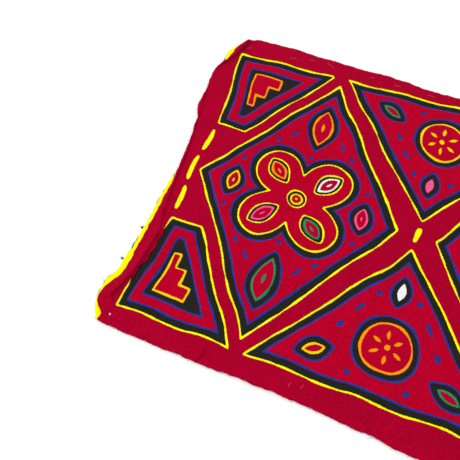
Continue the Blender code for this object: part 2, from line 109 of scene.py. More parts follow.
# Where the yellow cloth shows past the red at the left, as y and reach, how far the black one shows past it,
# how far the lower cloths stay in elsewhere, and where the frame's origin is in the field of windows
YELLOW_LEFT = ((-0.1475, 0.0000), (-0.1440, 0.0030), (-0.1400, 0.0050), (-0.1340, 0.0016), (-0.1270, 0.0010),
               (-0.1190, 0.0030), (-0.1120, 0.0052), (-0.0990, 0.0055), (-0.0860, 0.0036), (-0.0600, 0.0028),
               (-0.0280, 0.0034), (-0.0120, 0.0015), (0.0020, -0.0010), (0.1120, -0.0012), (0.1200, 0.0032),
               (0.1300, 0.0052), (0.1380, 0.0010), (0.1440, -0.0010))
BLACK_PAST_YELLOW = 0.0002
KEPT_IN = 0.0012
FRAME_X = -0.00144
FRAME_Y = -0.0010

# Folds of the red cloth, each a soft ridge along a line: x0, y0, x1, y1, half width, rise, and how steep its
# inner side is, as a share of the half width
FOLDS = (
    (-0.1928, 0.1480, -0.1936, 0.1448, 0.0026, 0.0014, 0.40),
    (-0.1936, 0.1448, -0.1948, 0.1395, 0.0030, 0.0030, 0.20),
    (-0.1948, 0.1395, -0.1969, 0.1310, 0.0032, 0.0032, 0.17),
    (-0.1969, 0.1310, -0.2017, 0.1202, 0.0030, 0.0030, 0.17),
    (-0.2017, 0.1202, -0.2063, 0.1136, 0.0026, 0.0024, 0.20),
    (-0.1958, 0.1440, -0.1977, 0.1385, 0.0015, 0.0024, 0.30),
    (-0.1977, 0.1385, -0.1997, 0.1300, 0.0016, 0.0027, 0.26),
    (-0.1997, 0.1300, -0.2034, 0.1222, 0.0014, 0.0024, 0.30),
    (-0.2063, 0.1136, -0.2099, 0.1050, 0.0022, 0.0014, 0.40),
    (-0.2099, 0.1050, -0.2084, 0.0751, 0.0022, 0.0006, 0.80),
    (-0.2084, 0.0751, -0.2042, 0.0493, 0.0022, 0.0013, 0.35),
    (-0.2042, 0.0493, -0.1993, 0.0184, 0.0022, 0.0013, 0.35),
    (-0.1993, 0.0184, -0.1967, -0.0127, 0.0024, 0.0014, 0.35),
    (-0.1967, -0.0127, -0.1940, -0.0440, 0.0028, 0.0016, 0.35),
    (-0.1940, -0.0440, -0.1896, -0.0640, 0.0034, 0.0018, 0.26),
    (-0.1892, -0.0640, -0.1912, -0.0880, 0.0044, 0.0023, 0.15),
    (-0.1912, -0.0880, -0.1931, -0.1020, 0.0046, 0.0025, 0.13),
    (-0.1931, -0.1020, -0.1980, -0.1180, 0.0046, 0.0025, 0.13),
    (-0.1980, -0.1180, -0.2015, -0.1255, 0.0042, 0.0022, 0.15),
    (-0.2015, -0.1255, -0.1972, -0.1292, 0.0024, 0.0014, 0.36),
    (-0.2050, -0.1390, -0.1985, -0.1365, 0.0024, 0.0014, 0.50),
    (-0.1882, -0.0360, -0.1886, -0.0540, 0.0016, 0.0006, 0.50),
    (-0.1180, -0.1385, -0.1215, -0.1482, 0.0026, 0.0013, 0.25),
    (-0.1500, 0.1500, -0.1480, 0.1360, 0.0060, 0.0009, 1.00),
    (-0.0600, 0.1460, -0.0640, 0.1340, 0.0070, 0.0008, 1.00),
    (0.0500, -0.1530, 0.0460, -0.1380, 0.0070, 0.0009, 1.00),
    (0.2050, 0.1300, 0.2030, -0.0300, 0.0050, 0.0012, 1.00),
)

# How far a steep fold's crest leans over and its foot tucks under, as shares of the rise, where, how wide
CREST_LEAN, CREST_AT, CREST_WIDE = 0.42, -0.0001, 0.0008
FOOT_LEAN, FOOT_AT, FOOT_WIDE = 0.26, 0.0009, 0.0007

# Rows of points beside a steep fold, the distance at which two points count as one, and the rows' reach
CREASE_OFFSETS = (-0.0016, -0.0010, -0.0005, -0.0001, 0.0002, 0.0005, 0.0008, 0.0012, 0.0017)
SAME_SPOT = 0.0003
CREASE_REACH = 0.0040

# Where the rumple pulls the window's side outwards: from and to which y, over what blend, and how wide in x
RUMPLE_FROM, RUMPLE_TO, RUMPLE_BLEND = -0.1110, -0.0590, 0.0045
RUMPLE_X, RUMPLE_WIDE = -0.1890, 0.0100
RUMPLE_RIPPLE, RUMPLE_RIPPLE_LENGTH = 0.0006, 0.0125
RED_PULL = -0.0013
YELLOW_PULL = 0.0012

# Low rolling of the whole panel: wave length, direction in degrees, phase, height
ROLLS = ((0.150, 20, 0.4, 0.00016), (0.083, 115, 2.1, 0.00011), (0.047, 64, 4.0, 0.00007))

# Insets, as in the frame: a leaf's x, y, length, width and angle, a petal's distance, length and width, and
# a disc's x, y and radius
LOZENGE_LEAVES = (
    (0.000, 0.074, 0.052, 0.027, 90),
    (0.000, -0.074, 0.052, 0.027, 90),
    (-0.0545, 0.000, 0.034, 0.021, 90),
    (0.0545, 0.000, 0.034, 0.021, 90),
)
PETAL_LEAF = (0.029, 0.028, 0.0180)
PETAL_ANGLES = (45, 135, 225, 315)
HEART_R = 0.0085
MIDDLE_LEAVES = (
    (0.000, 0.0475, 0.028, 0.016, 90),
    (-0.046, 0.1095, 0.032, 0.018, -27),
    (0.046, 0.1095, 0.032, 0.018, 27),
)
MIDDLE_DISC = (0.000, 0.091, 0.024)
CORNER_STEPS = 3
STEP_LEFT = 0.7

# Slits, as x0, y0, x1, y1, and the dyes of the insets in each window
SLIT_WIDTH = 0.0037
SLIT_END_WIDTH = 0.55
SLIT_MIDDLE = (0.13, 0.87)
SIDE_SLITS = (
    (0.1853, 0.0410, 0.1868, 0.0185),
    (0.1874, 0.0125, 0.1874, -0.0115),
    (0.1868, -0.0175, 0.1853, -0.0410),
)
MIDDLE_SLIT = (0.0, -0.0065, 0.0004, 0.0065)
LOZENGE_COLOURS = {"left": ("orange", "green", "gold", "pink"),
                   "right": ("green", "purple", "orange", "gold")}
PETAL_COLOURS = {"left": ("white", "orange", "pink", "green"), "right": ("pink", "gold", "white", "purple")}
HEART_COLOURS = {"left": "gold", "right": "green"}
MIDDLE_COLOURS = {"top": ("pink", "green", "orange", "gold"), "bottom": ("white", "gold", "green", "orange")}
CORNER_COLOURS = {"top_left": "orange", "top_right": "pink", "bottom_left": "gold", "bottom_right": "green"}

# Small windows in the red pieces: short leaf-shaped cuts that show the colour below, as x, y, length, width
# and angle. Each row stands for its mirror images too.
LOZENGE_CUTS = (
    (0.0215, 0.0590, 0.0110, 0.0030, 125),
    (0.0325, 0.0495, 0.0062, 0.0044, 125),
    (0.0525, 0.0235, 0.0058, 0.0042, 60),
    (0.0000, 0.0415, 0.0052, 0.0040, 90),
)
MIDDLE_CUTS = (
    (0.0250, 0.0690, 0.0120, 0.0030, 54),
    (0.0350, 0.0860, 0.0080, 0.0042, 54),
    (0.0200, 0.1162, 0.0060, 0.0042, -20),
    (0.0140, 0.0530, 0.0060, 0.0042, 54),
)

# Least width of an inset that has a cut, and of one with a red piece on it, a cut's size as shares of that
# width, then the short cuts round a disc's dot: number, distance, length and width, and the first's angle
CUT_ROOM = 0.006
SEWN_ROOM = 0.003
CUT_LENGTH = 0.72
CUT_WIDTH = 0.20
DISC_RAYS = 6
DISC_RAY = (0.0092, 0.0072, 0.0028)
DISC_RAY_TURN = 30
DISC_DOT_R, HEART_DOT_R = 0.0022, 0.0011

# How many points are tested at a time, how often a height may cross a short and a long loop, how near two
# points count as touching, and how finely things are divided
BATCH = 2000
MOST_CROSSINGS = (8, 24)
LONG_LOOP = 400
TOUCHING = 1e-8
EVERYWHERE = 1.0
EDGE_STEP = 0.0009
DISC_CUT_STEP = EDGE_STEP / 1.5
FLAT_STEP = 0.0026
HEM_STEP = 0.0011
BACK_STEP = 0.0070
HEM_STRIP_X = -0.183


# Outlines: a loop is one row for each point, x and y and the way inwards for each unit of inset

def left_of(ways):
    """Each way turned left by a quarter."""
    return np.stack([-ways[..., 1], ways[..., 0]], axis=-1)


def ways_at(angles):
    """The way that each angle points, as x and y."""
    return np.stack([np.cos(angles), np.sin(angles)], axis=1)


def turned(points, angle):
    """Points, or ways, turned about the origin."""
    c, s = math.cos(angle), math.sin(angle)
    return points @ np.array([[c, s], [-s, c]])


def from_middle(x, y, distance, degrees):
    """The point at a distance and an angle from a middle."""
    a = math.radians(degrees)
    return x + distance * math.cos(a), y + distance * math.sin(a)


def bell(away, width):
    """A bell curve: the exponential of minus the squared distance, in widths."""
    return np.exp(-((away / width) ** 2))


def flat_loop(points):
    """A loop from closed points: the way inwards is at right angles to the line through its neighbours."""
    along = np.roll(points, -1, axis=0) - np.roll(points, 1, axis=0)
    along /= np.hypot(along[:, 0], along[:, 1])[:, None]
    return np.hstack([points, left_of(along)])


def mitres(corners):
    """For each corner, the way that it moves when both its sides move inwards by one."""
    side = np.roll(corners, -1, axis=0) - corners
    inward = left_of(side) / np.hypot(side[:, 0], side[:, 1])[:, None]
    last = np.roll(inward, 1, axis=0)
    return (inward + last) / (1 + (inward * last).sum(1))[:, None]


def corner_loop(corners, step=EDGE_STEP):
    """A straight-sided loop: along each side the point and its way inwards run evenly between corners."""
    corners = np.array(corners, float)
    ends = np.hstack([corners, mitres(corners)])
    out = []
    for start, end in zip(ends, np.roll(ends, -1, axis=0)):
        count = max(2, round(math.dist(start[:2], end[:2]) / step))
        out.append(start + (end - start) * (np.arange(count) / count)[:, None])
    return np.vstack(out)


def leaf_loop(x, y, length, width, angle, step=EDGE_STEP):
    """A pointed leaf: each side is a parabola from tip to tip, and inset it keeps the slope of its tips."""
    tip = math.atan2(2 * width, length)
    count = max(6, round(length / step))
    t = np.arange(count) / count * 2 - 1
    side = np.stack([length / 2 * t, -width / 2 * (1 - t**2), -t / math.sin(tip), 1 - t**2], axis=1)
    loop, a = np.vstack([side, -side]), math.radians(angle)
    return np.hstack([turned(loop[:, :2], a) + (x, y), turned(loop[:, 2:], a)])


def disc_loop(x, y, radius, step=EDGE_STEP):
    """A round loop."""
    a = np.arange(max(10, round(2 * math.pi * radius / step)))
    out = ways_at(a / len(a) * 2 * np.pi)
    return np.hstack([(x, y) + radius * out, -out])


def flower_loop(x, y, step=EDGE_STEP):
    """Four petals on the diagonals: the radius swells from the notch to the petal with |sin 2a|. The way
    inwards points at the middle, and is longer where the outline runs aslant, by the root of 1 + (slope /
    radius) squared."""
    count = round(8 * FLOWER_R / step)
    a = np.arange(count) / count * 2 * np.pi
    r = NOTCH_R + (FLOWER_R - NOTCH_R) * np.abs(np.sin(2 * a)) ** PETAL_SHARPNESS
    slope = (np.roll(r, -1) - np.roll(r, 1)) * count / (4 * np.pi)
    out = ways_at(a)
    reach = np.minimum(np.hypot(1, slope / r), NOTCH_MITRE)
    return np.hstack([(x, y) + r[:, None] * out, -out * reach[:, None]])


def moved(loop, inset):
    """The same loop with its points moved inwards."""
    return np.hstack([loop[:, :2] + inset * loop[:, 2:], loop[:, 2:]])


def softened(loop, times):
    """A loop whose corners are rounded by averaging each point with its neighbours."""
    for _ in range(times):
        loop = (np.roll(loop, 1, axis=0) + 2 * loop + np.roll(loop, -1, axis=0)) / 4
    return loop


def rounded(loops, times, inset=0.0):
    """Loops moved inwards, and then with rounded corners."""
    return [softened(moved(loop, inset), times) for loop in loops]


def hand_cut(points):
    """Points led astray by slow waves, the same for every cloth, so that nested outlines stay nested."""
    k = 2 * np.pi / STRAY_LENGTH
    x, y = points[:, 0], points[:, 1]
    return points + STRAY * np.stack([np.sin(k * y + STRAY_BEND * np.sin(k * x / STRAY_SLOWER[0])),
                                      np.cos(k * x + STRAY_BEND * np.sin(k * y / STRAY_SLOWER[1]))], axis=1)


def arc(points):
    """Distance along a closed line to each of its points, and its whole length."""
    steps = np.hypot(*(np.roll(points, -1, axis=0) - points).T)
    return np.concatenate([[0], np.cumsum(steps)[:-1]]), float(steps.sum())


def waver(points, rng, waves=WAVERS):
    """How far each point of a closed line strays in or out: random sine waves that close without a step."""
    s, whole = arc(points)
    stray = np.zeros(len(points))
    for length, height in waves:
        for share in WAVE_SHARES:
            cycles = max(1, round(whole / length * share))
            stray += height * np.sin(2 * np.pi * cycles * s / whole + rng.uniform(0, 2 * np.pi))
    return stray


def smooth_line(rows, step):
    """Points along a Catmull-Rom curve through the rows, about one step apart, without the last row."""
    rows = np.array(rows, float)
    before = np.vstack([2 * rows[0] - rows[1], rows[:-2]])
    after = np.vstack([rows[2:], 2 * rows[-1] - rows[-2]])
    out = []
    for a, b, c, d in zip(before, rows[:-1], rows[1:], after):
        count = max(1, round(float(np.hypot(*(c - b))) / step))
        t = (np.arange(count) / count)[:, None]
        out.append(0.5 * (2 * b + (c - a) * t + (2 * a - 5 * b + 4 * c - d) * t**2
                          + (3 * b - a - 3 * c + d) * t**3))
    return np.vstack(out)


def evenly(points, step):
    """A closed line resampled at even distances."""
    s, whole = arc(points)
    at = np.arange(round(whole / step)) / round(whole / step) * whole
    closed = np.vstack([points, points[:1]])
    return np.stack([np.interp(at, np.append(s, whole), closed[:, k]) for k in (0, 1)], axis=1)


def edge_loop(points):
    """The loop of a raw edge: evenly divided, with its corners a little worn off."""
    return flat_loop(softened(evenly(points, EDGE_STEP), RAW_WORN))


def red_outline():
    """The red cloth's raw edge, counter-clockwise from its upper left."""
    rows = [smooth_line(rows[::-1], EDGE_STEP) for rows in (RED_LEFT, RED_BOTTOM, RED_RIGHT, RED_TOP)]
    return edge_loop(np.vstack(rows))


def lower_outline(past):
    """A lower cloth's raw edge: it stays inside the red one, and shows past it at the left."""
    left = smooth_line(RED_LEFT[::-1], EDGE_STEP)
    ys, reach = np.array(YELLOW_LEFT).T
    left = left - np.stack([np.interp(left[:, 1], ys, reach) + past, np.zeros(len(left))], axis=1)
    left[:, 1] = np.clip(left[:, 1], RED_LEFT[0][1] + KEPT_IN, RED_TOP[0][1] - KEPT_IN)
    bottom = smooth_line(RED_BOTTOM[::-1], EDGE_STEP) + (0, KEPT_IN)
    right = smooth_line(RED_RIGHT[::-1], EDGE_STEP) - (KEPT_IN, 0)
    top = smooth_line(RED_TOP[::-1], EDGE_STEP) - (0, KEPT_IN)
    high, low = RED_RIGHT[0][1] - 2 * KEPT_IN, RED_RIGHT[-1][1] + 2 * KEPT_IN
    far = RED_RIGHT[0][0] - 2 * KEPT_IN
    return edge_loop(np.vstack([
        left[np.hypot(*(left - np.roll(left, 1, axis=0)).T) > EDGE_STEP / 4],
        bottom[bottom[:, 0] < far],
        right[(right[:, 1] < high) & (right[:, 1] > low)],
        top[top[:, 0] < far],
    ]))


def window_corners():
    """The eight windows by name, each with its corners, counter-clockwise."""
    half_w, half_h = FIELD_W / 2, FIELD_H / 2
    loz_w, loz_h = LOZENGE_W / 2, LOZENGE_H / 2
    to_side = loz_w * loz_h / math.hypot(loz_w, loz_h)
    cut = loz_w * (1 + BAND / to_side - half_h / loz_h)
    slant = (half_h - CORNER_END) * loz_w / loz_h
    corner = np.array([(CORNER_LEAN - half_w, CORNER_END), (-LOZENGE_X - cut - slant, CORNER_END),
                       (-LOZENGE_X - cut, half_h), (-half_w, half_h)])
    middle = np.array([(0, MIDDLE_TIP), (LOZENGE_X - cut, half_h), (cut - LOZENGE_X, half_h)])
    lozenge = np.array([(loz_w, 0), (0, loz_h), (-loz_w, 0), (0, -loz_h)])
    flip_x, flip_y = np.array([-1, 1]), np.array([1, -1])
    return {
        "lozenge_left": lozenge - (LOZENGE_X, 0),
        "lozenge_right": lozenge + (LOZENGE_X, 0),
        "corner_top_left": corner,
        "corner_top_right": (corner * flip_x)[::-1],
        "corner_bottom_left": (corner * flip_y)[::-1],
        "corner_bottom_right": corner * flip_x * flip_y,
        "middle_top": middle,
        "middle_bottom": (middle * flip_y)[::-1],
    }


def signed_area(points):
    """Area inside an outline, positive where it runs counter-clockwise."""
    x, y = points[:, 0], points[:, 1]
    return 0.5 * float((x * np.roll(y, -1) - np.roll(x, -1) * y).sum())


def stepped(corners):
    """A stair inside a corner window that leans with its outer side: each step is as wide as the window is
    at that step's narrow end."""
    by_height = corners[np.argsort(-np.abs(corners[:, 1]), kind="stable")]
    (wide_out, wide_in), (end_out, end_in) = (two[np.argsort(-np.abs(two[:, 0]))] for two in
                                              (by_height[:2], by_height[2:]))
    wide, narrow = wide_in - wide_out, end_in - end_out
    stair = [wide_out]
    for step in range(1, CORNER_STEPS + 1):
        above, share = (step - 1) / (CORNER_STEPS + STEP_LEFT), step / (CORNER_STEPS + STEP_LEFT)
        tread = wide + (narrow - wide) * share
        stair += [wide_out + (end_out - wide_out) * part + tread for part in (above, share)]
    stair.append(wide_out + (end_out - wide_out) * share)
    stair = np.array(stair)
    return stair if signed_area(stair) > 0 else stair[::-1]


def slit(x0, y0, x1, y1):
    """A long cut with narrower ends, as a loop."""
    start, end = np.array([x0, y0]), np.array([x1, y1])
    share = np.array([0.0, *SLIT_MIDDLE, 1.0])[:, None]
    wide = np.array([SLIT_END_WIDTH, 1.0, 1.0, SLIT_END_WIDTH])[:, None]
    along = (end - start) / math.dist(start, end)
    aside = np.array([along[1], -along[0]]) * SLIT_WIDTH / 2 * wide
    line = start + (end - start) * share
    return corner_loop(np.vstack([line + aside, (line - aside)[::-1]]), EDGE_STEP / 2)


def slits():
    """All the yellow slits."""
    cuts = [slit(*MIDDLE_SLIT)]
    for x0, y0, x1, y1 in SIDE_SLITS:
        cuts += [slit(x0, y0, x1, y1), slit(-x0, y0, -x1, y1)]
    return cuts


# Heights

def rolling(x, y):
    """Low waves of the whole panel, never below the table: a sum of plane waves."""
    lift = np.zeros_like(x)
    for length, direction, phase, height in ROLLS:
        a = math.radians(direction)
        lift += height * (1 + np.sin(2 * np.pi / length * (x * math.cos(a) + y * math.sin(a)) + phase))
    return lift


def from_line(x, y, x0, y0, x1, y1):
    """Distance of each point to the straight line between two ends."""
    dx, dy = x1 - x0, y1 - y0
    along = np.clip(((x - x0) * dx + (y - y0) * dy) / (dx * dx + dy * dy), 0, 1)
    return np.hypot(x - x0 - along * dx, y - y0 - along * dy)


def folds(x, y):
    """Lift and sideways shift of each point by the highest ridge over it. A ridge falls off from its line as
    a bell curve, more steeply on the left of the way it runs. There its crest leans over its foot: two
    narrower bell curves, one each way."""
    lift, shift = np.zeros_like(x), np.zeros((len(x), 2))
    for x0, y0, x1, y1, half_width, rise, steep in FOLDS:
        dx, dy = x1 - x0, y1 - y0
        away = from_line(x, y, x0, y0, x1, y1)
        inner = dx * (y - y0) - dy * (x - x0) > 0
        height = rise * bell(away, np.where(inner, half_width * steep, half_width))
        signed = np.where(inner, away, -away)
        lean = rise * (1 - steep) * (CREST_LEAN * bell(signed - CREST_AT, CREST_WIDE)
                                     - FOOT_LEAN * bell(signed - FOOT_AT, FOOT_WIDE))
        higher = height > lift
        lift = np.where(higher, height, lift)
        way = np.array([-dy, dx]) / math.hypot(dx, dy)
        shift = np.where(higher[:, None], lean[:, None] * way, shift)
    return lift, shift


def crease_points(loops):
    """Rows of points along both sides of the steep folds, so that the mesh follows their shape, where they
    are inside the loops and clear of them."""
    edge = np.vstack(loops)
    rows = []
    for x0, y0, x1, y1, _, _, steep in FOLDS:
        if steep < 1:
            start, way = np.array([x0, y0]), np.array([x1 - x0, y1 - y0])
            length = float(np.hypot(*way))
            along = (np.arange(round(length / HEM_STEP)) + 0.5) / round(length / HEM_STEP)
            line = start + along[:, None] * way
            rows += [line + left_of(way) / length * aside for aside in CREASE_OFFSETS]
    points = np.vstack(rows)
    points = points[np.unique(np.rint(points / SAME_SPOT).astype(int), axis=0, return_index=True)[1]]
    points = points[contains(points, loops)]
    clear = np.array([np.hypot(*(edge - p).T).min() > HEM_STEP / 2 for p in points])
    return points[clear]


def crease_distance(points):
    """Distance of each point to the nearest steep fold's line."""
    return np.min([from_line(*points.T, *row[:4]) for row in FOLDS if row[-1] < 1], axis=0)


def rumpled(points, pull):
    """Points drawn sideways where the lower left margin is rumpled: a bell curve across, a plateau with
    soft ends down the panel, and a small ripple on it."""
    x, y = points[:, 0], points[:, 1]
    ends = np.tanh((y - RUMPLE_FROM) / RUMPLE_BLEND) - np.tanh((y - RUMPLE_TO) / RUMPLE_BLEND)
    drawn = pull + RUMPLE_RIPPLE * np.sin(2 * np.pi * y / RUMPLE_RIPPLE_LENGTH)
    drawn = drawn * bell(x - RUMPLE_X, RUMPLE_WIDE) * ends / 2
    return points - np.stack([drawn, np.zeros(len(x))], axis=1)


# Cloth meshes

# A sewn edge, from the back round to the face: distance in from the edge, height as a share of the cloth's
# thickness, and how much of the pucker at a stitch it takes
SEWN_EDGE = (
    (0.00090, 0.00, 0.0),
    (0.00020, 0.00, 0.0),
    (0.00000, 0.45, 0.3),
    (0.00020, 0.92, 1.0),
    (0.00050, 1.28, 0.9),
    (0.00095, 1.42, 0.4),
    (0.00150, 1.36, 0.1),
)
RAW_EDGE = (
    (0.00050, 0.00, 0.0),
    (0.00005, 0.10, 0.0),
    (0.00000, 0.60, 0.0),
    (0.00020, 1.00, 0.0),
    (0.00055, 1.06, 0.0),
)

# Height of the face as a share of the thickness, length of a seam that is turned in full, the least share
# for a short one, distance between stitches, depth of a pucker, and the rings that the stitches go by
PUFF_SHARE = 1.30
FULL_SEAM = 0.14
SMALL_SEAM = 0.40
STITCH_PITCH = 0.0029
PUCKER = 0.00012
EDGE_RING, TOP_RING, INNER_RING = 2, 3, 4

# Units of the weave's map, and how many sides a thread has
CM_PER_M = 100
MM_PER_CM = 10.0
TUBE_SIDES = 4


def met(loop, rows):
    """Whether each side of a closed line spans each height in rows, and where its line crosses it."""
    a, b = loop, np.roll(loop, -1, axis=0)
    spans = (a[None, :, 1] > rows[:, None]) != (b[None, :, 1] > rows[:, None])
    rise = np.where(b[:, 1] == a[:, 1], 1.0, b[:, 1] - a[:, 1])
    return spans, a[None, :, 0] + (rows[:, None] - a[None, :, 1]) * ((b[:, 0] - a[:, 0]) / rise)[None]


def crossings(rows, loops):
    """For each height in rows, the sorted places where the loops' sides cross it, padded with infinity. A
    short loop crosses it only a few times."""
    found = []
    for loop in loops:
        most = MOST_CROSSINGS[len(loop) >= LONG_LOOP]
        found.append(np.sort(np.where(*met(loop, rows), np.inf), axis=1)[:, :most])
    return np.sort(np.hstack(found), axis=1)


def grid_inside(loops, step, x_from=-EVERYWHERE, x_to=EVERYWHERE):
    """Points of a grid that lie inside the first loop and outside the rest, not close to any of them."""
    edge = np.vstack(loops)
    low, high = loops[0].min(0), loops[0].max(0)
    xs = np.arange(max(low[0], x_from) + step / 2, min(high[0], x_to), step)
    ys = np.arange(low[1] + step / 2, high[1], step)
    if not len(xs) or not len(ys):
        return np.zeros((0, 2))
    cross = crossings(ys, loops)
    odd = (cross[:, None, :] < xs[None, :, None]).sum(2) % 2 == 1
    column = np.rint((edge[:, 0] - xs[0]) / step).astype(int)
    row = np.rint((edge[:, 1] - ys[0]) / step).astype(int)
    near = (column >= 0) & (column < len(xs)) & (row >= 0) & (row < len(ys))
    odd[row[near], column[near]] = False
    gx, gy = np.meshgrid(xs, ys)
    shift = np.where(np.arange(len(ys)) % 2 == 0, step / 4, -step / 4)[:, None]
    return np.stack([(gx + shift)[odd], gy[odd]], axis=1)


def contains(points, loops):
    """Whether each point is inside the loops, by counting the sides to its right, some points at a time."""
    inside = np.ones(len(points), bool)
    for first in range(0, len(points), BATCH):
        part = points[first:first + BATCH]
        count = np.zeros(len(part), int)
        for loop in loops:
            spans, at = met(loop, part[:, 1])
            count += (spans & (part[:, :1] < at)).sum(1)
        inside[first:first + BATCH] = count % 2 == 1
    return inside


def triangles(loops, grid):
    """Triangles between closed loops and over loose grid points, outside the holes, by number of the
    point."""
    points = np.vstack(loops + [grid])
    edges = []
    start = 0
    for loop in loops:
        here = np.arange(start, start + len(loop))
        edges += np.stack([here, np.roll(here, -1)], axis=1).tolist()
        start += len(loop)
    made, _, faces, origins, *_ = delaunay_2d_cdt([Vector(p) for p in points.tolist()], edges, [], 0,
                                                  TOUCHING)
    crossed = [f"{v.x:.4f}, {v.y:.4f}" for v, o in zip(made, origins) if len(o) != 1]
    if crossed:
        raise RuntimeError(f"outlines of one cloth meet at {crossed[:4]}")
    number = np.array([o[0] for o in origins])
    faces = number[np.array([tuple(f) for f in faces])]
    on_edge = (faces < start).all(1)
    keep = np.ones(len(faces), bool)
    keep[on_edge] = contains(points[faces[on_edge]].mean(1), loops)
    return faces[keep]


class Cloth:
    """One cut of cloth: its level, its loops, the first the outside one, and how its edges are finished."""

    def __init__(self, name, colour, level, outer, holes=(), raw=False, folded=False, pull=0.0):
        self.name, self.colour = name, colour
        self.base, self.thickness = levels()[level]
        self.folded, self.pull = folded, pull
        seed = sum(ord(letter) * (n + 1) for n, letter in enumerate(name))
        self.rng = np.random.default_rng(seed)
        self.loops = []
        for number, loop in enumerate([outer, *holes]):
            uncut = raw and number == 0
            stray = waver(loop[:, :2], self.rng, RAW_WAVERS if uncut else WAVERS)
            self.loops.append((moved(loop, stray[:, None]), uncut))

    def rim(self, number):
        """The edge of loop number as rings of points with heights, from the back round to the face."""
        loop, uncut = self.loops[number]
        table = np.array(RAW_EDGE if uncut else SEWN_EDGE)
        way = 1 if number == 0 else -1
        reach = table[:, 0] * np.clip(arc(loop[:, :2])[1] / FULL_SEAM, SMALL_SEAM, 1.0)
        flat = [loop[:, :2] + way * d * loop[:, 2:] for d in reach]
        rings = [p if uncut else hand_cut(p) for p in flat]
        if self.pull and not uncut:
            rings = [rumpled(p, self.pull) for p in rings]
        s, whole = arc(rings[EDGE_RING])
        count = max(2, round(whole / STITCH_PITCH))
        pulled = 0.5 + 0.5 * np.cos(2 * np.pi * count * s / whole)
        heights = [self.height(p) + share * self.thickness - PUCKER * pucker * pulled
                   for p, (_, share, pucker) in zip(rings, table)]
        return rings, heights, (s, whole, count)

    def height(self, p):
        """Height of the cloth's back at each point."""
        z = self.base + rolling(p[:, 0], p[:, 1])
        if self.folded:
            z = z + folds(p[:, 0], p[:, 1])[0]
        return z


def build(cloth, face_step, back_step):
    """The cloth's mesh: rims as strips of quads between rings, and face and back filled with triangles."""
    points, heights, quads, face_loops, back_loops, face_ids, back_ids = [], [], [], [], [], [], []
    seams = []
    start = 0
    for number in range(len(cloth.loops)):
        rings, zs, stitching = cloth.rim(number)
        count = len(rings[0])
        ids = start + np.arange(count)
        for k in range(len(rings) - 1):
            a, b = ids + k * count, ids + (k + 1) * count
            strip = np.stack([a, np.roll(a, -1), np.roll(b, -1), b], axis=1)
            quads.append(strip if number == 0 else strip[:, ::-1])
        points += rings
        heights += zs
        back_loops.append(rings[0])
        back_ids.append(ids)
        face_loops.append(rings[-1])
        face_ids.append(ids + (len(rings) - 1) * count)
        start += count * len(rings)
        if not cloth.loops[number][1]:
            seams.append((rings, zs, stitching))
    tris = []
    sides = (face_loops, face_ids, face_step, 1), (back_loops, back_ids, back_step, -1)
    for loops, ids, step, turn in sides:
        if not cloth.folded:
            grid = grid_inside(loops, step)
        else:
            grid = grid_inside(loops, step, HEM_STRIP_X + HEM_STEP / 2)
            if turn == 1:
                grid = np.vstack([grid_inside(loops, HEM_STEP, x_to=HEM_STRIP_X), grid])
                far = crease_distance(grid) > CREASE_OFFSETS[-1] + HEM_STEP / 2
                grid = np.vstack([crease_points(loops), grid[far]])
                # Along the steep folds the back has the same points as the face, so that they don't cross
                shared = grid[(grid[:, 0] < HEM_STRIP_X) | (crease_distance(grid) < CREASE_REACH)]
            else:
                grid = np.vstack([shared, grid[crease_distance(grid) > CREASE_REACH + HEM_STEP]])
        found = triangles(loops, grid)
        number = np.concatenate(ids + [start + np.arange(len(grid))])
        tris.append(number[found][:, ::turn])
        z = cloth.height(grid)
        if turn == 1:
            z = z + cloth.thickness * PUFF_SHARE
        points.append(grid)
        heights.append(z)
        start += len(grid)
    flat = np.vstack(points)
    if cloth.folded:
        flat = flat + folds(flat[:, 0], flat[:, 1])[1]
    place = np.column_stack([flat - (FRAME_X, FRAME_Y), np.concatenate(heights)])
    return place, np.vstack(quads), np.vstack(tris), seams


def placed(name, data):
    """An object with its mesh, light or camera, at the origin."""
    piece = bpy.data.objects.new(name, data)
    bpy.context.collection.objects.link(piece)
    return piece


def fill_mesh(name, place, quads, tris, turn_weave):
    """A smooth mesh object from points, quads and triangles, with a UV map that carries the weave. The map
    is the cloth's own plane, turned by the angle at which the piece was cut, one unit a centimetre."""
    mesh = bpy.data.meshes.new(name)
    mesh.from_pydata(place, [], quads.tolist() + tris.tolist(), shade_flat=False)
    corners = np.concatenate([quads.ravel(), tris.ravel()])
    uv = turned(place[:, :2], turn_weave) * CM_PER_M
    mesh.uv_layers.new(name="weave").data.foreach_set("uv", uv[corners].astype(np.float32).ravel())
    if mesh.validate():
        raise RuntimeError(f"{name} has faults in its mesh")
    return placed(name, mesh)


def tubes(paths, radii):
    """Thin closed tubes, one for each path: rings of corners round the path's points, at right angles to
    the way from its first point to its last, and a cap at each end. Gives points and quads."""
    way = paths[:, -1] - paths[:, 0]
    way /= np.linalg.norm(way, axis=1)[:, None]
    aside = np.cross(way, (0.0, 0.0, 1.0))
    aside /= np.linalg.norm(aside, axis=1)[:, None]
    up = np.cross(aside, way)
    turn = np.arange(TUBE_SIDES) / TUBE_SIDES * 2 * np.pi
    ring = np.cos(turn)[None, :, None] * aside[:, None] + np.sin(turn)[None, :, None] * up[:, None]
    corners = paths[:, :, None] + radii[None, :, None, None] * ring[:, None]
    ids = np.arange(corners[..., 0].size).reshape(corners.shape[:3])
    a, b = ids[:, :-1], ids[:, 1:]
    walls = np.stack([a, b, np.roll(b, -1, axis=2), np.roll(a, -1, axis=2)], axis=-1).reshape(-1, 4)
    return corners.reshape(-1, 3), np.vstack([walls, ids[:, 0], ids[:, -1, ::-1]])


# Materials

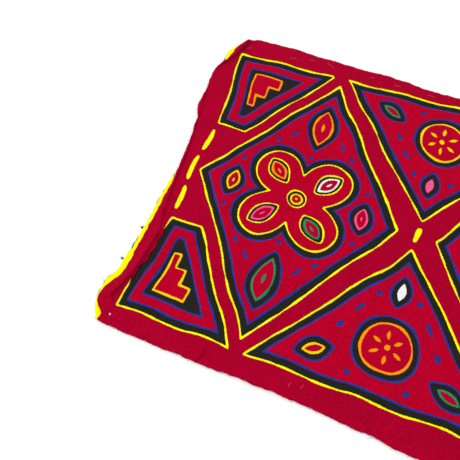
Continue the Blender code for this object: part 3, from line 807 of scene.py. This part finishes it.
# Cotton: how noise is drawn out into uneven threads each way, the scale, detail and roughness of that noise,
# of a slow one and of a fine one, the shares of all three in the mottling, the range of their sum, how far
# the dye goes darker and lighter, and the weave's painted shade: how much lighter its crossings are than its
# valleys, and the valleys' darkest share
DRAWN_OUT = ((0.35, 16.0, 1.0), (16.0, 0.45, 1.0))
SLUB_NOISE, CLOUD_NOISE, SPECK_NOISE = (1.0, 3.0, 0.6), (55.0, 4.0, 0.55), (900.0, 2.0, 0.5)
SLUB_SHARE, CLOUD_SHARE, SPECK_SHARE = 0.45, 0.17, 0.62
SHADE_RANGE = (0.48, 0.76)
MOTTLE = 0.24
WEAVE_PAINTED_SHADE, WEAVE_PAINTED_DARKEST = 0.10, 0.93

# The ranges of its roughness, the shares and height of its relief, and its faint fibres
SLUB_RANGE, ROUGH_RANGE = (0.3, 0.7), (0.80, 0.95)
OVER_RELIEF, SLUB_RELIEF, RELIEF = 0.6, 0.9, 0.00018
FIBRES = {"Sheen Weight": 0.01, "Sheen Roughness": 0.5, "Specular IOR Level": 0.02}


def feed(tree, node, inputs):
    """Sets a node's inputs to values, or links them from sockets."""
    for key, value in inputs.items():
        if isinstance(value, bpy.types.NodeSocket):
            tree.links.new(value, node.inputs[key])
        else:
            node.inputs[key].default_value = value


def wire(tree, kind, inputs=None, **settings):
    """A node with its settings and its inputs."""
    node = tree.nodes.new(kind)
    for key, value in settings.items():
        setattr(node, key, value)
    feed(tree, node, inputs or {})
    return node


def calc(tree, operation, *values):
    """The output of a Math node."""
    return wire(tree, "ShaderNodeMath", dict(enumerate(values)), operation=operation).outputs[0]


def added(tree, *terms):
    """The sum of sockets, each times its share."""
    parts = [calc(tree, "MULTIPLY", value, share) for value, share in terms]
    total = parts[0]
    for part in parts[1:]:
        total = calc(tree, "ADD", total, part)
    return total


def noise(tree, place, scale, detail, roughness):
    """Noise between 0 and 1."""
    return wire(tree, "ShaderNodeTexNoise", {"Vector": place, "Scale": scale, "Detail": detail,
                                             "Roughness": roughness}).outputs["Fac"]


def ranged(tree, value, low, high, to_low, to_high):
    """A value carried over from one range to another."""
    return wire(tree, "ShaderNodeMapRange", {"Value": value, "From Min": low, "From Max": high,
                                             "To Min": to_low, "To Max": to_high}).outputs[0]


def new_material(name):
    """A material with nodes, its tree and its shader."""
    material = bpy.data.materials.new(name)
    material.use_nodes = True
    return material, material.node_tree, material.node_tree.nodes["Principled BSDF"]


def cotton(name, colour, look):
    """Plain-woven cotton: threads over and under each other as a product of two sines along the weave map,
    uneven threads as noise drawn out along each direction, and a slow mottling of the dye. Painted shade
    darkens the weave's valleys and lightens its crossings a little."""
    material, tree, shader = new_material(name)
    weave = wire(tree, "ShaderNodeUVMap", uv_map="weave").outputs["UV"]
    place = wire(tree, "ShaderNodeTexCoord").outputs["Object"]
    across = wire(tree, "ShaderNodeSeparateXYZ", {"Vector": weave})
    threads = MM_PER_CM / look.thread_mm * math.pi
    warp, weft = (calc(tree, "SINE", calc(tree, "MULTIPLY", across.outputs[axis], threads)) for axis in "XY")
    over = calc(tree, "MULTIPLY_ADD", calc(tree, "MULTIPLY", warp, weft), 0.5, 0.5)
    drawn = [wire(tree, "ShaderNodeMapping", {"Vector": weave, "Scale": scale}).outputs[0]
             for scale in DRAWN_OUT]
    slub = added(tree, *((noise(tree, way, *SLUB_NOISE), 0.5) for way in drawn))
    cloudy = noise(tree, place, *CLOUD_NOISE)
    speck = noise(tree, place, *SPECK_NOISE)
    shade = added(tree, (slub, SLUB_SHARE), (cloudy, CLOUD_SHARE), (speck, SPECK_SHARE))
    shade = ranged(tree, shade, *SHADE_RANGE, 1 - MOTTLE, 1 + MOTTLE)
    # Painted shade: the colour is darker in the weave's valleys and a little lighter on its crossings
    shade = calc(tree, "MULTIPLY", shade, calc(tree, "MULTIPLY_ADD", over, WEAVE_PAINTED_SHADE, WEAVE_PAINTED_DARKEST))
    dye_and_weave_shade = wire(tree, "ShaderNodeVectorMath", {0: (*colour,)[:3], "Scale": shade}, operation="SCALE")
    relief = added(tree, (over, OVER_RELIEF), (slub, SLUB_RELIEF))
    bump = wire(tree, "ShaderNodeBump", {"Height": relief, "Strength": look.weave_depth, "Distance": RELIEF})
    feed(tree, shader, {"Base Color": dye_and_weave_shade.outputs[0], "Normal": bump.outputs[0],
                        "Roughness": ranged(tree, slub, *SLUB_RANGE, *ROUGH_RANGE), **FIBRES})
    return material


# Sizes and colours that a user may change

def length_property(name, description, value, least, most):
    """A small length that a user may change."""
    return FloatProperty(name=name, description=description, default=value, min=least, max=most,
                         unit="LENGTH", precision=5)


class MolaCloth(PropertyGroup):
    """Thickness of the cloths and how they are woven."""
    ground: length_property("Ground", "Thickness of the black ground cloth", 0.00042, 0.0003, 0.0010)
    coloured: length_property("Coloured", "Thickness of the coloured cloths", 0.00034, 0.0002, 0.0010)
    top: length_property("Top", "Thickness of the red cloths on top", 0.00040, 0.0002, 0.0010)
    air: length_property("Air", "Room between one cloth and the next", 0.00008, 0.0, 0.0005)
    thread_mm: FloatProperty(name="Thread", description="Width of one thread of the weave, in millimetres",
                             default=0.36, min=0.2, max=0.8)
    weave_depth: FloatProperty(name="Weave depth", description="How strongly the weave stands out",
                               default=0.5, min=0.0, max=1.0, subtype="FACTOR")


def colour_property(name, value):
    """A colour that a user may change."""
    return FloatVectorProperty(name=name, description=f"Dye of the {name.lower()} cotton", subtype="COLOR",
                               default=value, min=0.0, max=1.0)


class MolaColours(PropertyGroup):
    """The dyes of the cottons."""
    red: colour_property("Red", (0.375, 0.0, 0.022))
    bright_red: colour_property("Bright red", (0.445, 0.0, 0.020))
    pale_red: colour_property("Pale red", (0.62, 0.09, 0.10))
    yellow: colour_property("Yellow", (1.0, 0.96, 0.001))
    black: colour_property("Black", (0.0170, 0.0165, 0.0138))
    blue: colour_property("Blue", (0.023, 0.037, 0.26))
    orange: colour_property("Orange", (1.0, 0.31, 0.002))
    green: colour_property("Green", (0.022, 0.233, 0.115))
    pink: colour_property("Pink", (0.89, 0.088, 0.28))
    white: colour_property("White", (0.88, 0.88, 0.86))
    purple: colour_property("Purple", (0.22, 0.045, 0.30))
    gold: colour_property("Gold", (1.0, 0.63, 0.0))


class MolaStage(PropertyGroup):
    """The floor and the lights."""
    floor: FloatVectorProperty(name="Floor", description="Colour of the floor", subtype="COLOR",
                               default=(0.95, 0.95, 0.95), min=0.0, max=1.0)
    sky: FloatProperty(name="Sky", description="Strength of the even light from all round", default=0.84)
    key: FloatProperty(name="Key", description="Power of the large soft light, in watts", default=28.5)


# What the steps hand on: the cottons made and the seams to sew. Pieces too small to be stated
DYED = {}
SEAMS = []

# The ground's height over the table
BACK_LIFT = 0.00012

# The levels of cloth, and the distance between the mesh's points in each kind of piece
GROUND, COLOURED, TOP = 0, 1, 2
GROUND_STEPS = {"face_step": 0.0033, "back_step": 0.0045}
COLOURED_STEP = 0.004
INSET_STEP = 0.003
INSET_TOP_STEP = 0.002


def levels():
    """Height of the back of each level's cloths, and their thickness."""
    sizes = bpy.context.scene.mola_cloth
    coloured = BACK_LIFT + sizes.ground + sizes.air
    return ((BACK_LIFT, sizes.ground), (coloured, sizes.coloured),
            (coloured + sizes.coloured + sizes.air, sizes.top))


def dyed(colour):
    """The cotton of one dye, made once."""
    if colour not in DYED:
        scene = bpy.context.scene
        DYED[colour] = cotton(f"{colour}_woven", getattr(scene.mola_colours, colour), scene.mola_cloth)
    return DYED[colour]


def lay(cloth, node=None, face_step=FLAT_STEP, back_step=BACK_STEP, rests_on=("sewn_black_ground",)):
    """Builds a cloth with its cotton, its body and its node, and keeps its seams for sewing."""
    place, quads, tris, seams = build(cloth, face_step, back_step)
    piece = fill_mesh(f"sewn_{cloth.name}", place, quads, tris, cloth.rng.uniform(0, math.pi))
    piece.data.materials.append(dyed(cloth.colour))
    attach(piece, BODY)
    if node:
        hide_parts(node)
    SEAMS.extend((cloth, *seam) for seam in seams)


# The pieces

class MOLA_OT_ground(Operator):
    """Lays the whole black ground cloth"""
    bl_idname = "mola.ground"
    bl_label = "Black ground"

    def execute(self, context):
        cloth = Cloth("black_ground", "black", GROUND, lower_outline(BLACK_PAST_YELLOW), raw=True)
        lay(cloth, "black_ground", **GROUND_STEPS, rests_on=())
        return {"FINISHED"}


class MOLA_OT_yellow(Operator):
    """Lays the yellow cloth with its eight windows"""
    bl_idname = "mola.yellow"
    bl_label = "Yellow cloth"

    def execute(self, context):
        holes = rounded(map(corner_loop, window_corners().values()), 2, YELLOW_LINE)
        cloth = Cloth("yellow_cloth", "yellow", COLOURED, lower_outline(0.0), holes, raw=True,
                      pull=YELLOW_PULL)
        lay(cloth, "yellow_cloth", face_step=COLOURED_STEP)
        return {"FINISHED"}


class MOLA_OT_red_top(Operator):
    """Lays the red top cloth with its windows, slits, rolled hem and rumples"""
    bl_idname = "mola.red_top"
    bl_label = "Red top cloth"

    def execute(self, context):
        holes = rounded(map(corner_loop, window_corners().values()), 3) + rounded(slits(), 2)
        cloth = Cloth("red_top_cloth", "red", TOP, red_outline(), holes, raw=True, folded=True,
                      pull=RED_PULL)
        lay(cloth, "red_top_cloth", rests_on=("sewn_yellow_cloth",))
        return {"FINISHED"}


def pair(name, outline, first, windows, cuts=(), below="blue", line=BLUE_LINE, shown=BLUE_LINE, eased=2):
    """A coloured piece and a smaller red piece on it. Both have the windows, the coloured one's smaller by
    the line that shows, and the red one has cuts too."""
    under = Cloth(f"{below}_{name}", below, COLOURED, softened(moved(outline, first), 3),
                  rounded(windows, 2, shown))
    over = Cloth(f"red_{name}", "bright_red", TOP, softened(moved(outline, first + line), 3),
                 rounded(windows, eased) + rounded(cuts, 1))
    lay(under, f"{below}_{name}", face_step=COLOURED_STEP)
    lay(over, f"red_{name}", rests_on=(f"sewn_{below}_{name}",))


def inset(name, hole, colour, depth, cuts=(), topped=True):
    """A coloured inset in a small window, and a smaller red piece on it with cuts that show the colour."""
    node = f"{name}_{colour}"
    lay(Cloth(node, colour, COLOURED, softened(moved(hole, depth), 2)), node, face_step=INSET_STEP)
    if topped:
        outline = softened(moved(hole, depth + INSET_LINE), 2)
        lay(Cloth(f"red_on_{name}", "bright_red", TOP, outline, cuts), face_step=INSET_TOP_STEP)


def leaf_inset(name, row, colour, depth):
    """The inset of a leaf window: the red piece on it is left out where it would be too narrow to sew, and
    has one cut where it is wide enough."""
    x, y, length, width, angle = row
    room = width - 2 * (depth + INSET_LINE)
    cut = leaf_loop(x, y, room * CUT_LENGTH, room * CUT_WIDTH, angle, EDGE_STEP / 2)
    inset(name, leaf_loop(*row), colour, depth, [cut] if room > CUT_ROOM else [], topped=room > SEWN_ROOM)


def leaf_insets(name, rows, colours, depth):
    """The insets of a row of leaf windows, numbered from one."""
    for number, (row, colour) in enumerate(zip(rows, colours), 1):
        leaf_inset(f"{name}_{number}", row, colour, depth)


class MOLA_OT_lozenges(Operator):
    """Fills the two lozenge windows: blue and red pieces, a flower, and all their insets"""
    bl_idname = "mola.lozenges"
    bl_label = "Lozenges and flowers"

    def execute(self, context):
        for side in ("left", "right"):
            self.fill(side, window_corners()[f"lozenge_{side}"])
        return {"FINISHED"}

    def fill(self, side, corners):
        """One lozenge with its flower."""
        x = float(corners[:, 0].mean())
        flower = flower_loop(x, 0.0)
        rows = [(x + dx, *rest) for dx, *rest in LOZENGE_LEAVES]
        cuts = [leaf_loop(x + way * dx, up * dy, length, width, angle if way == up else 180 - angle)
                for dx, dy, length, width, angle in LOZENGE_CUTS
                for up in (1, -1) for way in ((1, -1) if dx else (1,))]
        pair(f"lozenge_{side}", corner_loop(corners), YELLOW_LINE + BLACK_BAND,
             [flower] + [leaf_loop(*row) for row in rows], cuts)
        leaf_insets(f"leaf_{side}", rows, LOZENGE_COLOURS[side], BLUE_LINE + SMALL_BLACK_BAND)
        distance, length, width = PETAL_LEAF
        rows = [(*from_middle(x, 0.0, distance, angle), length, width, angle) for angle in PETAL_ANGLES]
        heart = disc_loop(x, 0.0, HEART_R)
        pair(f"flower_{side}", flower, BLUE_LINE + BLACK_BAND, [leaf_loop(*row) for row in rows] + [heart],
             below="yellow", line=YELLOW_LINE, shown=PETAL_YELLOW_LINE)
        depth = PETAL_YELLOW_LINE + PETAL_BLACK_BAND
        leaf_insets(f"petal_{side}", rows, PETAL_COLOURS[side], depth)
        dot = disc_loop(x, 0.0, HEART_DOT_R, EDGE_STEP / 2)
        inset(f"heart_{side}", heart, HEART_COLOURS[side], depth, [dot])


class MOLA_OT_middles(Operator):
    """Fills the two middle windows: blue and red pieces with three leaves and a disc"""
    bl_idname = "mola.middles"
    bl_label = "Middle triangles"

    def execute(self, context):
        for side, up in (("top", 1), ("bottom", -1)):
            rows = [(x, y * up, length, width, angle * up) for x, y, length, width, angle in MIDDLE_LEAVES]
            cuts = [leaf_loop(x * way, y * up, length, width, angle * way * up)
                    for x, y, length, width, angle in MIDDLE_CUTS for way in (1, -1)]
            x, y, radius = MIDDLE_DISC
            disc = disc_loop(x, y * up, radius)
            pair(f"middle_{side}", corner_loop(window_corners()[f"middle_{side}"]), YELLOW_LINE + BLACK_BAND,
                 [leaf_loop(*row) for row in rows] + [disc], cuts)
            depth, colours = BLUE_LINE + SMALL_BLACK_BAND, MIDDLE_COLOURS[side]
            leaf_insets(f"middle_{side}", rows, colours, depth)
            inset(f"middle_{side}_{len(colours)}", disc, colours[-1], depth, self.rays(x, y * up))
        return {"FINISHED"}

    def rays(self, x, y):
        """A dot in the middle of a disc, and short leaf-shaped cuts round it."""
        distance, length, width = DISC_RAY
        cuts = [disc_loop(x, y, DISC_DOT_R, DISC_CUT_STEP)]
        for n in range(DISC_RAYS):
            a = 360 * n / DISC_RAYS + DISC_RAY_TURN
            cuts.append(leaf_loop(*from_middle(x, y, distance, a), length, width, a, DISC_CUT_STEP))
        return cuts


class MOLA_OT_corners(Operator):
    """Fills the four corner windows: blue and red pieces with a stepped inset"""
    bl_idname = "mola.corners"
    bl_label = "Corner windows"

    def execute(self, context):
        for side, colour in CORNER_COLOURS.items():
            corners = window_corners()[f"corner_{side}"]
            depth = YELLOW_LINE + BLACK_BAND + BLUE_LINE + RED_BAND
            window = corners + depth * mitres(corners)
            pair(f"corner_{side}", corner_loop(corners), YELLOW_LINE + BLACK_BAND, [corner_loop(window)],
                 eased=3)
            stair = corner_loop(stepped(window + (BLUE_LINE + SMALL_BLACK_BAND) * mitres(window)))
            inset(f"stair_{side}", stair, colour, 0.0)
        return {"FINISHED"}


# Sewing

# Stitches: thickness, how far outside the edge they come up, how many points on they go down, and how high
# over and how deep in the cloth they lie; then the dashes on the back, and how a stitch thins at its ends
THREAD_R = 0.00009
STITCH_OUT = 0.00015
STITCH_SLANT = 1
STITCH_RISE = 0.00010
STITCH_SUNK = 0.00012
BACK_STITCH = 0.0012
BACK_SUNK = 0.00003
STITCH_TAPER, BACK_TAPER = (0.8, 1, 1, 0.8), (0.8, 0.8)


def sewn_threads(name, colour, paths, radius, taper):
    """One object of thin threads of one colour, which takes its finish from the cotton."""
    place, quads = tubes(paths - np.array([FRAME_X, FRAME_Y, 0.0]), radius * np.array(taper))
    piece = fill_mesh(name, place, quads, np.zeros((0, 3), int), 0.0)
    piece.data.materials.append(dyed(colour))
    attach(piece, BODY)


def stitches(rings, zs, stitching):
    """Paths of the hem stitches of a seam: each comes up through the cloth below beside the edge, slants
    over it and goes down a little way in."""
    s, whole, count = stitching
    at = np.searchsorted(s, np.arange(count) / count * whole) % len(s)
    over = (at + STITCH_SLANT) % len(s)
    inner, edge = rings[INNER_RING][over], rings[EDGE_RING][at]
    outward = edge - rings[INNER_RING][at]
    outward /= np.linalg.norm(outward, axis=1)[:, None]
    start = np.column_stack([edge + outward * STITCH_OUT, zs[0][at] - STITCH_SUNK])
    beside = np.column_stack([edge + outward * STITCH_OUT / 4, zs[EDGE_RING][at] + STITCH_RISE])
    above = np.column_stack([(rings[EDGE_RING][over] + rings[TOP_RING][over]) / 2,
                             zs[TOP_RING][over] + STITCH_RISE])
    end = np.column_stack([inner, zs[INNER_RING][over] - STITCH_SUNK])
    return np.stack([start, beside, above, end], axis=1)


class MOLA_OT_stitches(Operator):
    """Sews every turned edge down with small stitches, and shows them on the back of the ground cloth"""
    bl_idname = "mola.stitches"
    bl_label = "Stitches"

    def execute(self, context):
        by_colour = {}
        for cloth, rings, zs, stitching in SEAMS:
            by_colour.setdefault(cloth.colour, []).append(stitches(rings, zs, stitching))
        for colour, paths in by_colour.items():
            paths = np.vstack(paths)
            sewn_threads(f"stitches_{colour}", colour, paths, THREAD_R, STITCH_TAPER)
            self.back(colour, paths)
        return {"FINISHED"}

    def back(self, colour, paths):
        """The same stitches seen from behind: short dashes across the ground cloth's back."""
        low = paths[:, 0]
        way = paths[:, -1, :2] - paths[:, 0, :2]
        way = left_of(way) / np.linalg.norm(way, axis=1)[:, None]
        ends = []
        for part in (-0.5, 0.5):
            flat = low[:, :2] + way * BACK_STITCH * part
            ends.append(np.column_stack([flat, BACK_LIFT + rolling(flat[:, 0], flat[:, 1]) - BACK_SUNK]))
        sewn_threads(f"back_stitches_{colour}", colour, np.stack(ends, axis=1), THREAD_R, BACK_TAPER)


# Running stitches that held the cloths together, in the margins: x0, y0, x1, y1
BASTING = (
    (-0.1933, 0.1372, -0.1858, 0.1400),
    (-0.1503, 0.1380, -0.1420, 0.1394),
    (-0.1324, 0.1426, -0.1258, 0.1429),
    (-0.1157, 0.1443, -0.1076, 0.1395),
    (-0.0759, 0.1390, -0.0698, 0.1398),
    (-0.0528, 0.1371, -0.0460, 0.1382),
    (-0.0235, 0.1358, -0.0148, 0.1358),
    (0.0120, 0.1365, 0.0195, 0.1372),
    (0.0440, 0.1385, 0.0520, 0.1392),
    (0.0820, 0.1400, 0.0895, 0.1402),
    (0.1250, 0.1408, 0.1330, 0.1411),
    (-0.0545, -0.1412, -0.0540, -0.1372),
    (-0.0465, -0.1392, -0.0450, -0.1352),
)
BASTING_R = 0.00021
BASTING_TAPER = (0.7, 1, 1, 1, 0.7)
BASTING_ARCH, BASTING_SUNK = 1.5, 0.9

# Fraying of the raw edges: how many threads for each metre and how long, how thick they are, how they thin,
# how far they turn aside, bend and sink, how far in and how high in the cloth their roots are, and how long
# they may be, the longest as a multiple. Then how many stand in a crowd, over how many points it spreads,
# and the share that stand outside crowds.
FRAYED = (("red", 1300, 0.0006), ("yellow", 900, 0.0007), ("black", 300, 0.0009))
FRAY_SEED = 41
FRAY_R = 0.00006
LOOSE_TAPER = (1, 1, 0.8, 0.4)
FRAY_TURN, FRAY_BEND, FRAY_SINK = 0.7, 0.5, 1.5
FRAY_ROOT, FRAY_HEIGHTS = 0.0003, (0.2, 0.9)
FRAY_SHORTEST, FRAY_LONGEST = 0.0004, 5
CROWD_THREADS, CROWD_SPREAD, OUTSIDE_CROWDS = 14, 5, 0.5

# Tufts and lint: where, how many threads, how long and thick, and how they are spread and lie
TUFTS = ((-0.2042, -0.0655), (-0.2072, -0.0950), (-0.2050, -0.1412))
TUFT_THREADS, TUFT_LENGTH, TUFT_SHORTEST, TUFT_R = 40, 0.0018, 0.3, 0.00009
TUFT_SPREAD, TUFT_TURN, TUFT_ROOT, TUFT_HEIGHTS = 0.0005, 0.9, 0.0006, (0.0002, 0.0007)
LINT = (-0.1942, -0.1391)
LINT_THREADS, LINT_LENGTH, LINT_TAPER = 22, 0.0006, (1.5, 1.5, 1.5, 1)
LINT_SPREAD, LINT_HIGH = 0.00025, 0.0002


def strands(roots, ways, lengths, lift, rng):
    """Paths of loose threads: each runs its way from its root, bends aside with the square of the
    distance, and sinks to the table."""
    t = np.linspace(0, 1, len(LOOSE_TAPER))[None, :, None]
    bend = rng.normal(0, FRAY_BEND, len(roots))[:, None, None] * lengths[:, None, None]
    aside = left_of(ways)[:, None]
    flat = roots[:, None, :2] + ways[:, None] * lengths[:, None, None] * t + aside * bend * t**2
    low = np.maximum(roots[:, None, 2:] * (1 - t) ** FRAY_SINK, lift)
    return np.concatenate([flat, low], axis=2)


class MOLA_OT_fraying(Operator):
    """Frays the raw edges and adds tufts, basting stitches and a speck of lint"""
    bl_idname = "mola.fraying"
    bl_label = "Fraying, basting and lint"

    def execute(self, context):
        rng = np.random.default_rng(FRAY_SEED)
        outlines = {"red": red_outline(), "yellow": lower_outline(0.0),
                    "black": lower_outline(BLACK_PAST_YELLOW)}
        cloths = dict(zip(("black", "yellow", "red"), levels()))
        for colour, per_metre, mean in FRAYED:
            loop, (base, thick) = outlines[colour], cloths[colour]
            if colour != "red":
                loop = loop[loop[:, 0] < HEM_STRIP_X]
            count = round(per_metre * len(loop) * EDGE_STEP)
            crowds = rng.random(max(3, count // CROWD_THREADS)) * len(loop)
            at = (rng.choice(crowds, count) + rng.normal(0, CROWD_SPREAD, count)).astype(int) % len(loop)
            at = np.where(rng.random(count) < OUTSIDE_CROWDS, rng.integers(0, len(loop), count), at)
            turn = rng.normal(0, FRAY_TURN, count)
            out = -loop[at, 2:]
            ways = np.stack([out[:, 0] * np.cos(turn) - out[:, 1] * np.sin(turn),
                             out[:, 0] * np.sin(turn) + out[:, 1] * np.cos(turn)], axis=1)
            flat = loop[at, :2] + loop[at, 2:] * FRAY_ROOT
            high = base + rolling(*flat.T) + thick * rng.uniform(*FRAY_HEIGHTS, count)
            if colour == "red":
                lifts, shifts = folds(*flat.T)
                flat, high = flat + shifts, high + lifts
            lengths = np.clip(rng.exponential(mean, count), FRAY_SHORTEST, FRAY_LONGEST * mean)
            paths = strands(np.column_stack([flat, high]), ways, lengths, FRAY_R, rng)
            sewn_threads(f"frays_{colour}", colour, paths, FRAY_R, LOOSE_TAPER)
        base, thick = levels()[TOP]
        self.tufts(rng)
        self.baste(base + thick * PUFF_SHARE)
        self.lint(rng, base + thick * PUFF_SHARE)
        return {"FINISHED"}

    def tufts(self, rng):
        """Small tufts of black threads that stick out past the yellow."""
        count = len(TUFTS) * TUFT_THREADS
        roots = np.repeat(np.array(TUFTS), TUFT_THREADS, axis=0) + rng.normal(0, TUFT_SPREAD, (count, 2))
        ways = ways_at(math.pi + rng.normal(0, TUFT_TURN, count))
        lengths = rng.uniform(TUFT_SHORTEST, 1.0, count) ** 2 * TUFT_LENGTH + TUFT_R
        high = rng.uniform(*TUFT_HEIGHTS, count)
        paths = strands(np.column_stack([roots + (TUFT_ROOT, 0), high]), ways, lengths, TUFT_R, rng)
        sewn_threads("tufts", "black", paths, TUFT_R, LOOSE_TAPER)

    def baste(self, top):
        """Pale running stitches lying on the margins, each a low arch."""
        rows = np.array(BASTING)
        t = np.linspace(0, 1, len(BASTING_TAPER))[None, :, None]
        flat = rows[:, None, :2] * (1 - t) + rows[:, None, 2:] * t
        lift, shift = folds(*flat.reshape(-1, 2).T)
        flat = flat + shift.reshape(flat.shape)
        high = top + rolling(flat[..., 0], flat[..., 1]) + lift.reshape(flat.shape[:2])
        high = high + BASTING_R * (np.sin(np.pi * t[..., 0]) * BASTING_ARCH - BASTING_SUNK)
        sewn_threads("basting", "pale_red", np.concatenate([flat, high[..., None]], axis=2), BASTING_R,
                     BASTING_TAPER)

    def lint(self, rng, top):
        """A speck of white lint: a few short curled threads about one spot."""
        roots = np.array(LINT) + rng.normal(0, LINT_SPREAD, (LINT_THREADS, 2))
        high = top + rolling(*roots.T) + folds(*roots.T)[0] + LINT_HIGH
        ways = ways_at(rng.uniform(0, 2 * math.pi, LINT_THREADS))
        paths = strands(np.column_stack([roots, high]), ways, np.full(LINT_THREADS, LINT_LENGTH), 0.0, rng)
        paths[..., 2] = high[:, None]
        sewn_threads("lint", "white", paths, FRAY_R, LINT_TAPER)


class MOLA_OT_cuts(Operator):
    """A step that does nothing: no flat sizes of the cloths are stated"""
    bl_idname = "mola.cuts"
    bl_label = "Flat sizes of the cloths"

    def execute(self, context):
        return {"FINISHED"}


# Floor, lamp, and the camera that matches the photograph, measured from the middle of the field
FLOOR_HALF, FLOOR_Z = 3.0, -0.0002
MATTE = {"Roughness": 0.9, "Specular IOR Level": 0.0}
LAMP_AT, LAMP_SIZE = (-1.8, -0.15, 2.1), 1.0
SENSOR_MM, NEAR_CLIP = 36.0, 0.01
PHOTO_PX = 460
CAMERA_FOCAL_PX = 520
CAMERA_EYE = (-0.0478, -0.1991, 0.3704)
CAMERA_RIGHT = (0.92595, 0.37187, -0.06582)
CAMERA_BACK = (0.21596, -0.37842, 0.90009)


class MOLA_OT_stage(Operator):
    """Adds the pale floor, the soft lights and the camera"""
    bl_idname = "mola.stage"
    bl_label = "Floor, light and camera"

    def execute(self, context):
        look = context.scene.mola_stage
        mesh = bpy.data.meshes.new("floor")
        mesh.from_pydata([(x * FLOOR_HALF, y * FLOOR_HALF, FLOOR_Z)
                          for x, y in ((-1, -1), (1, -1), (1, 1), (-1, 1))], [], [(0, 1, 2, 3)])
        paint, tree, shader = new_material("floor_paint")
        feed(tree, shader, {"Base Color": (*look.floor, 1.0), **MATTE})
        mesh.materials.append(paint)
        floor = placed("floor", mesh)

        world = context.scene.world or bpy.data.worlds.new("even_light")
        context.scene.world = world
        world.use_nodes = True
        feed(world.node_tree, world.node_tree.nodes["Background"],
             {"Color": (1.0, 1.0, 1.0, 1.0), "Strength": look.sky})
        light = bpy.data.lights.new("key", "AREA")
        light.energy = look.key
        light.size = LAMP_SIZE
        lamp = placed("key", light)
        lamp.location = LAMP_AT
        lamp.rotation_mode = "QUATERNION"
        lamp.rotation_quaternion = (-lamp.location).to_track_quat("-Z", "Y")

        camera_data = bpy.data.cameras.new("camera")
        camera_data.sensor_width = SENSOR_MM
        camera_data.lens = SENSOR_MM * CAMERA_FOCAL_PX / PHOTO_PX
        camera_data.clip_start = NEAR_CLIP
        camera = placed("camera", camera_data)
        x_axis, z_axis = Vector(CAMERA_RIGHT).normalized(), Vector(CAMERA_BACK).normalized()
        y_axis = z_axis.cross(x_axis).normalized()
        x_axis = y_axis.cross(z_axis)
        turn = Matrix((x_axis, y_axis, z_axis)).transposed().to_4x4()
        eye = Vector(CAMERA_EYE) - Vector((FRAME_X, FRAME_Y, 0))
        camera.matrix_world = Matrix.Translation(eye) @ turn
        context.scene.camera = camera
        context.scene.view_settings.view_transform = "Standard"
        return {"FINISHED"}


class MOLA_PT_panel(Panel):
    """Lists the steps in the sidebar"""
    bl_label = "Mola panel"
    bl_idname = "MOLA_PT_panel"
    bl_space_type = "VIEW_3D"
    bl_region_type = "UI"
    bl_category = "Mola"

    def draw(self, context):
        layout = self.layout
        scene = context.scene
        for group in (scene.mola_cloth, scene.mola_colours, scene.mola_stage):
            for key in group.__annotations__:
                layout.prop(group, key)
        for step in STEPS:
            layout.operator(step.bl_idname)


GROUPS = (("mola_cloth", MolaCloth), ("mola_colours", MolaColours), ("mola_stage", MolaStage))
STEPS = (MOLA_OT_ground, MOLA_OT_yellow, MOLA_OT_red_top, MOLA_OT_lozenges, MOLA_OT_middles, MOLA_OT_corners,
         MOLA_OT_stitches, MOLA_OT_fraying, MOLA_OT_cuts, MOLA_OT_stage)


def register():
    """Registers the classes and puts the settings on the scene."""
    for _, group in GROUPS:
        bpy.utils.register_class(group)
    for step in STEPS + (MOLA_PT_panel,):
        bpy.utils.register_class(step)
    for name, group in GROUPS:
        setattr(bpy.types.Scene, name, PointerProperty(type=group))


def unregister():
    """Takes the settings and the classes away again."""
    for name, _ in GROUPS:
        delattr(bpy.types.Scene, name)
    for step in reversed(STEPS + (MOLA_PT_panel,)):
        bpy.utils.unregister_class(step)
    for _, group in reversed(GROUPS):
        bpy.utils.unregister_class(group)


def main():
    register()
    for step in STEPS:
        group, name = step.bl_idname.split(".")
        getattr(getattr(bpy.ops, group), name)()


if __name__ == "__main__":
    main()
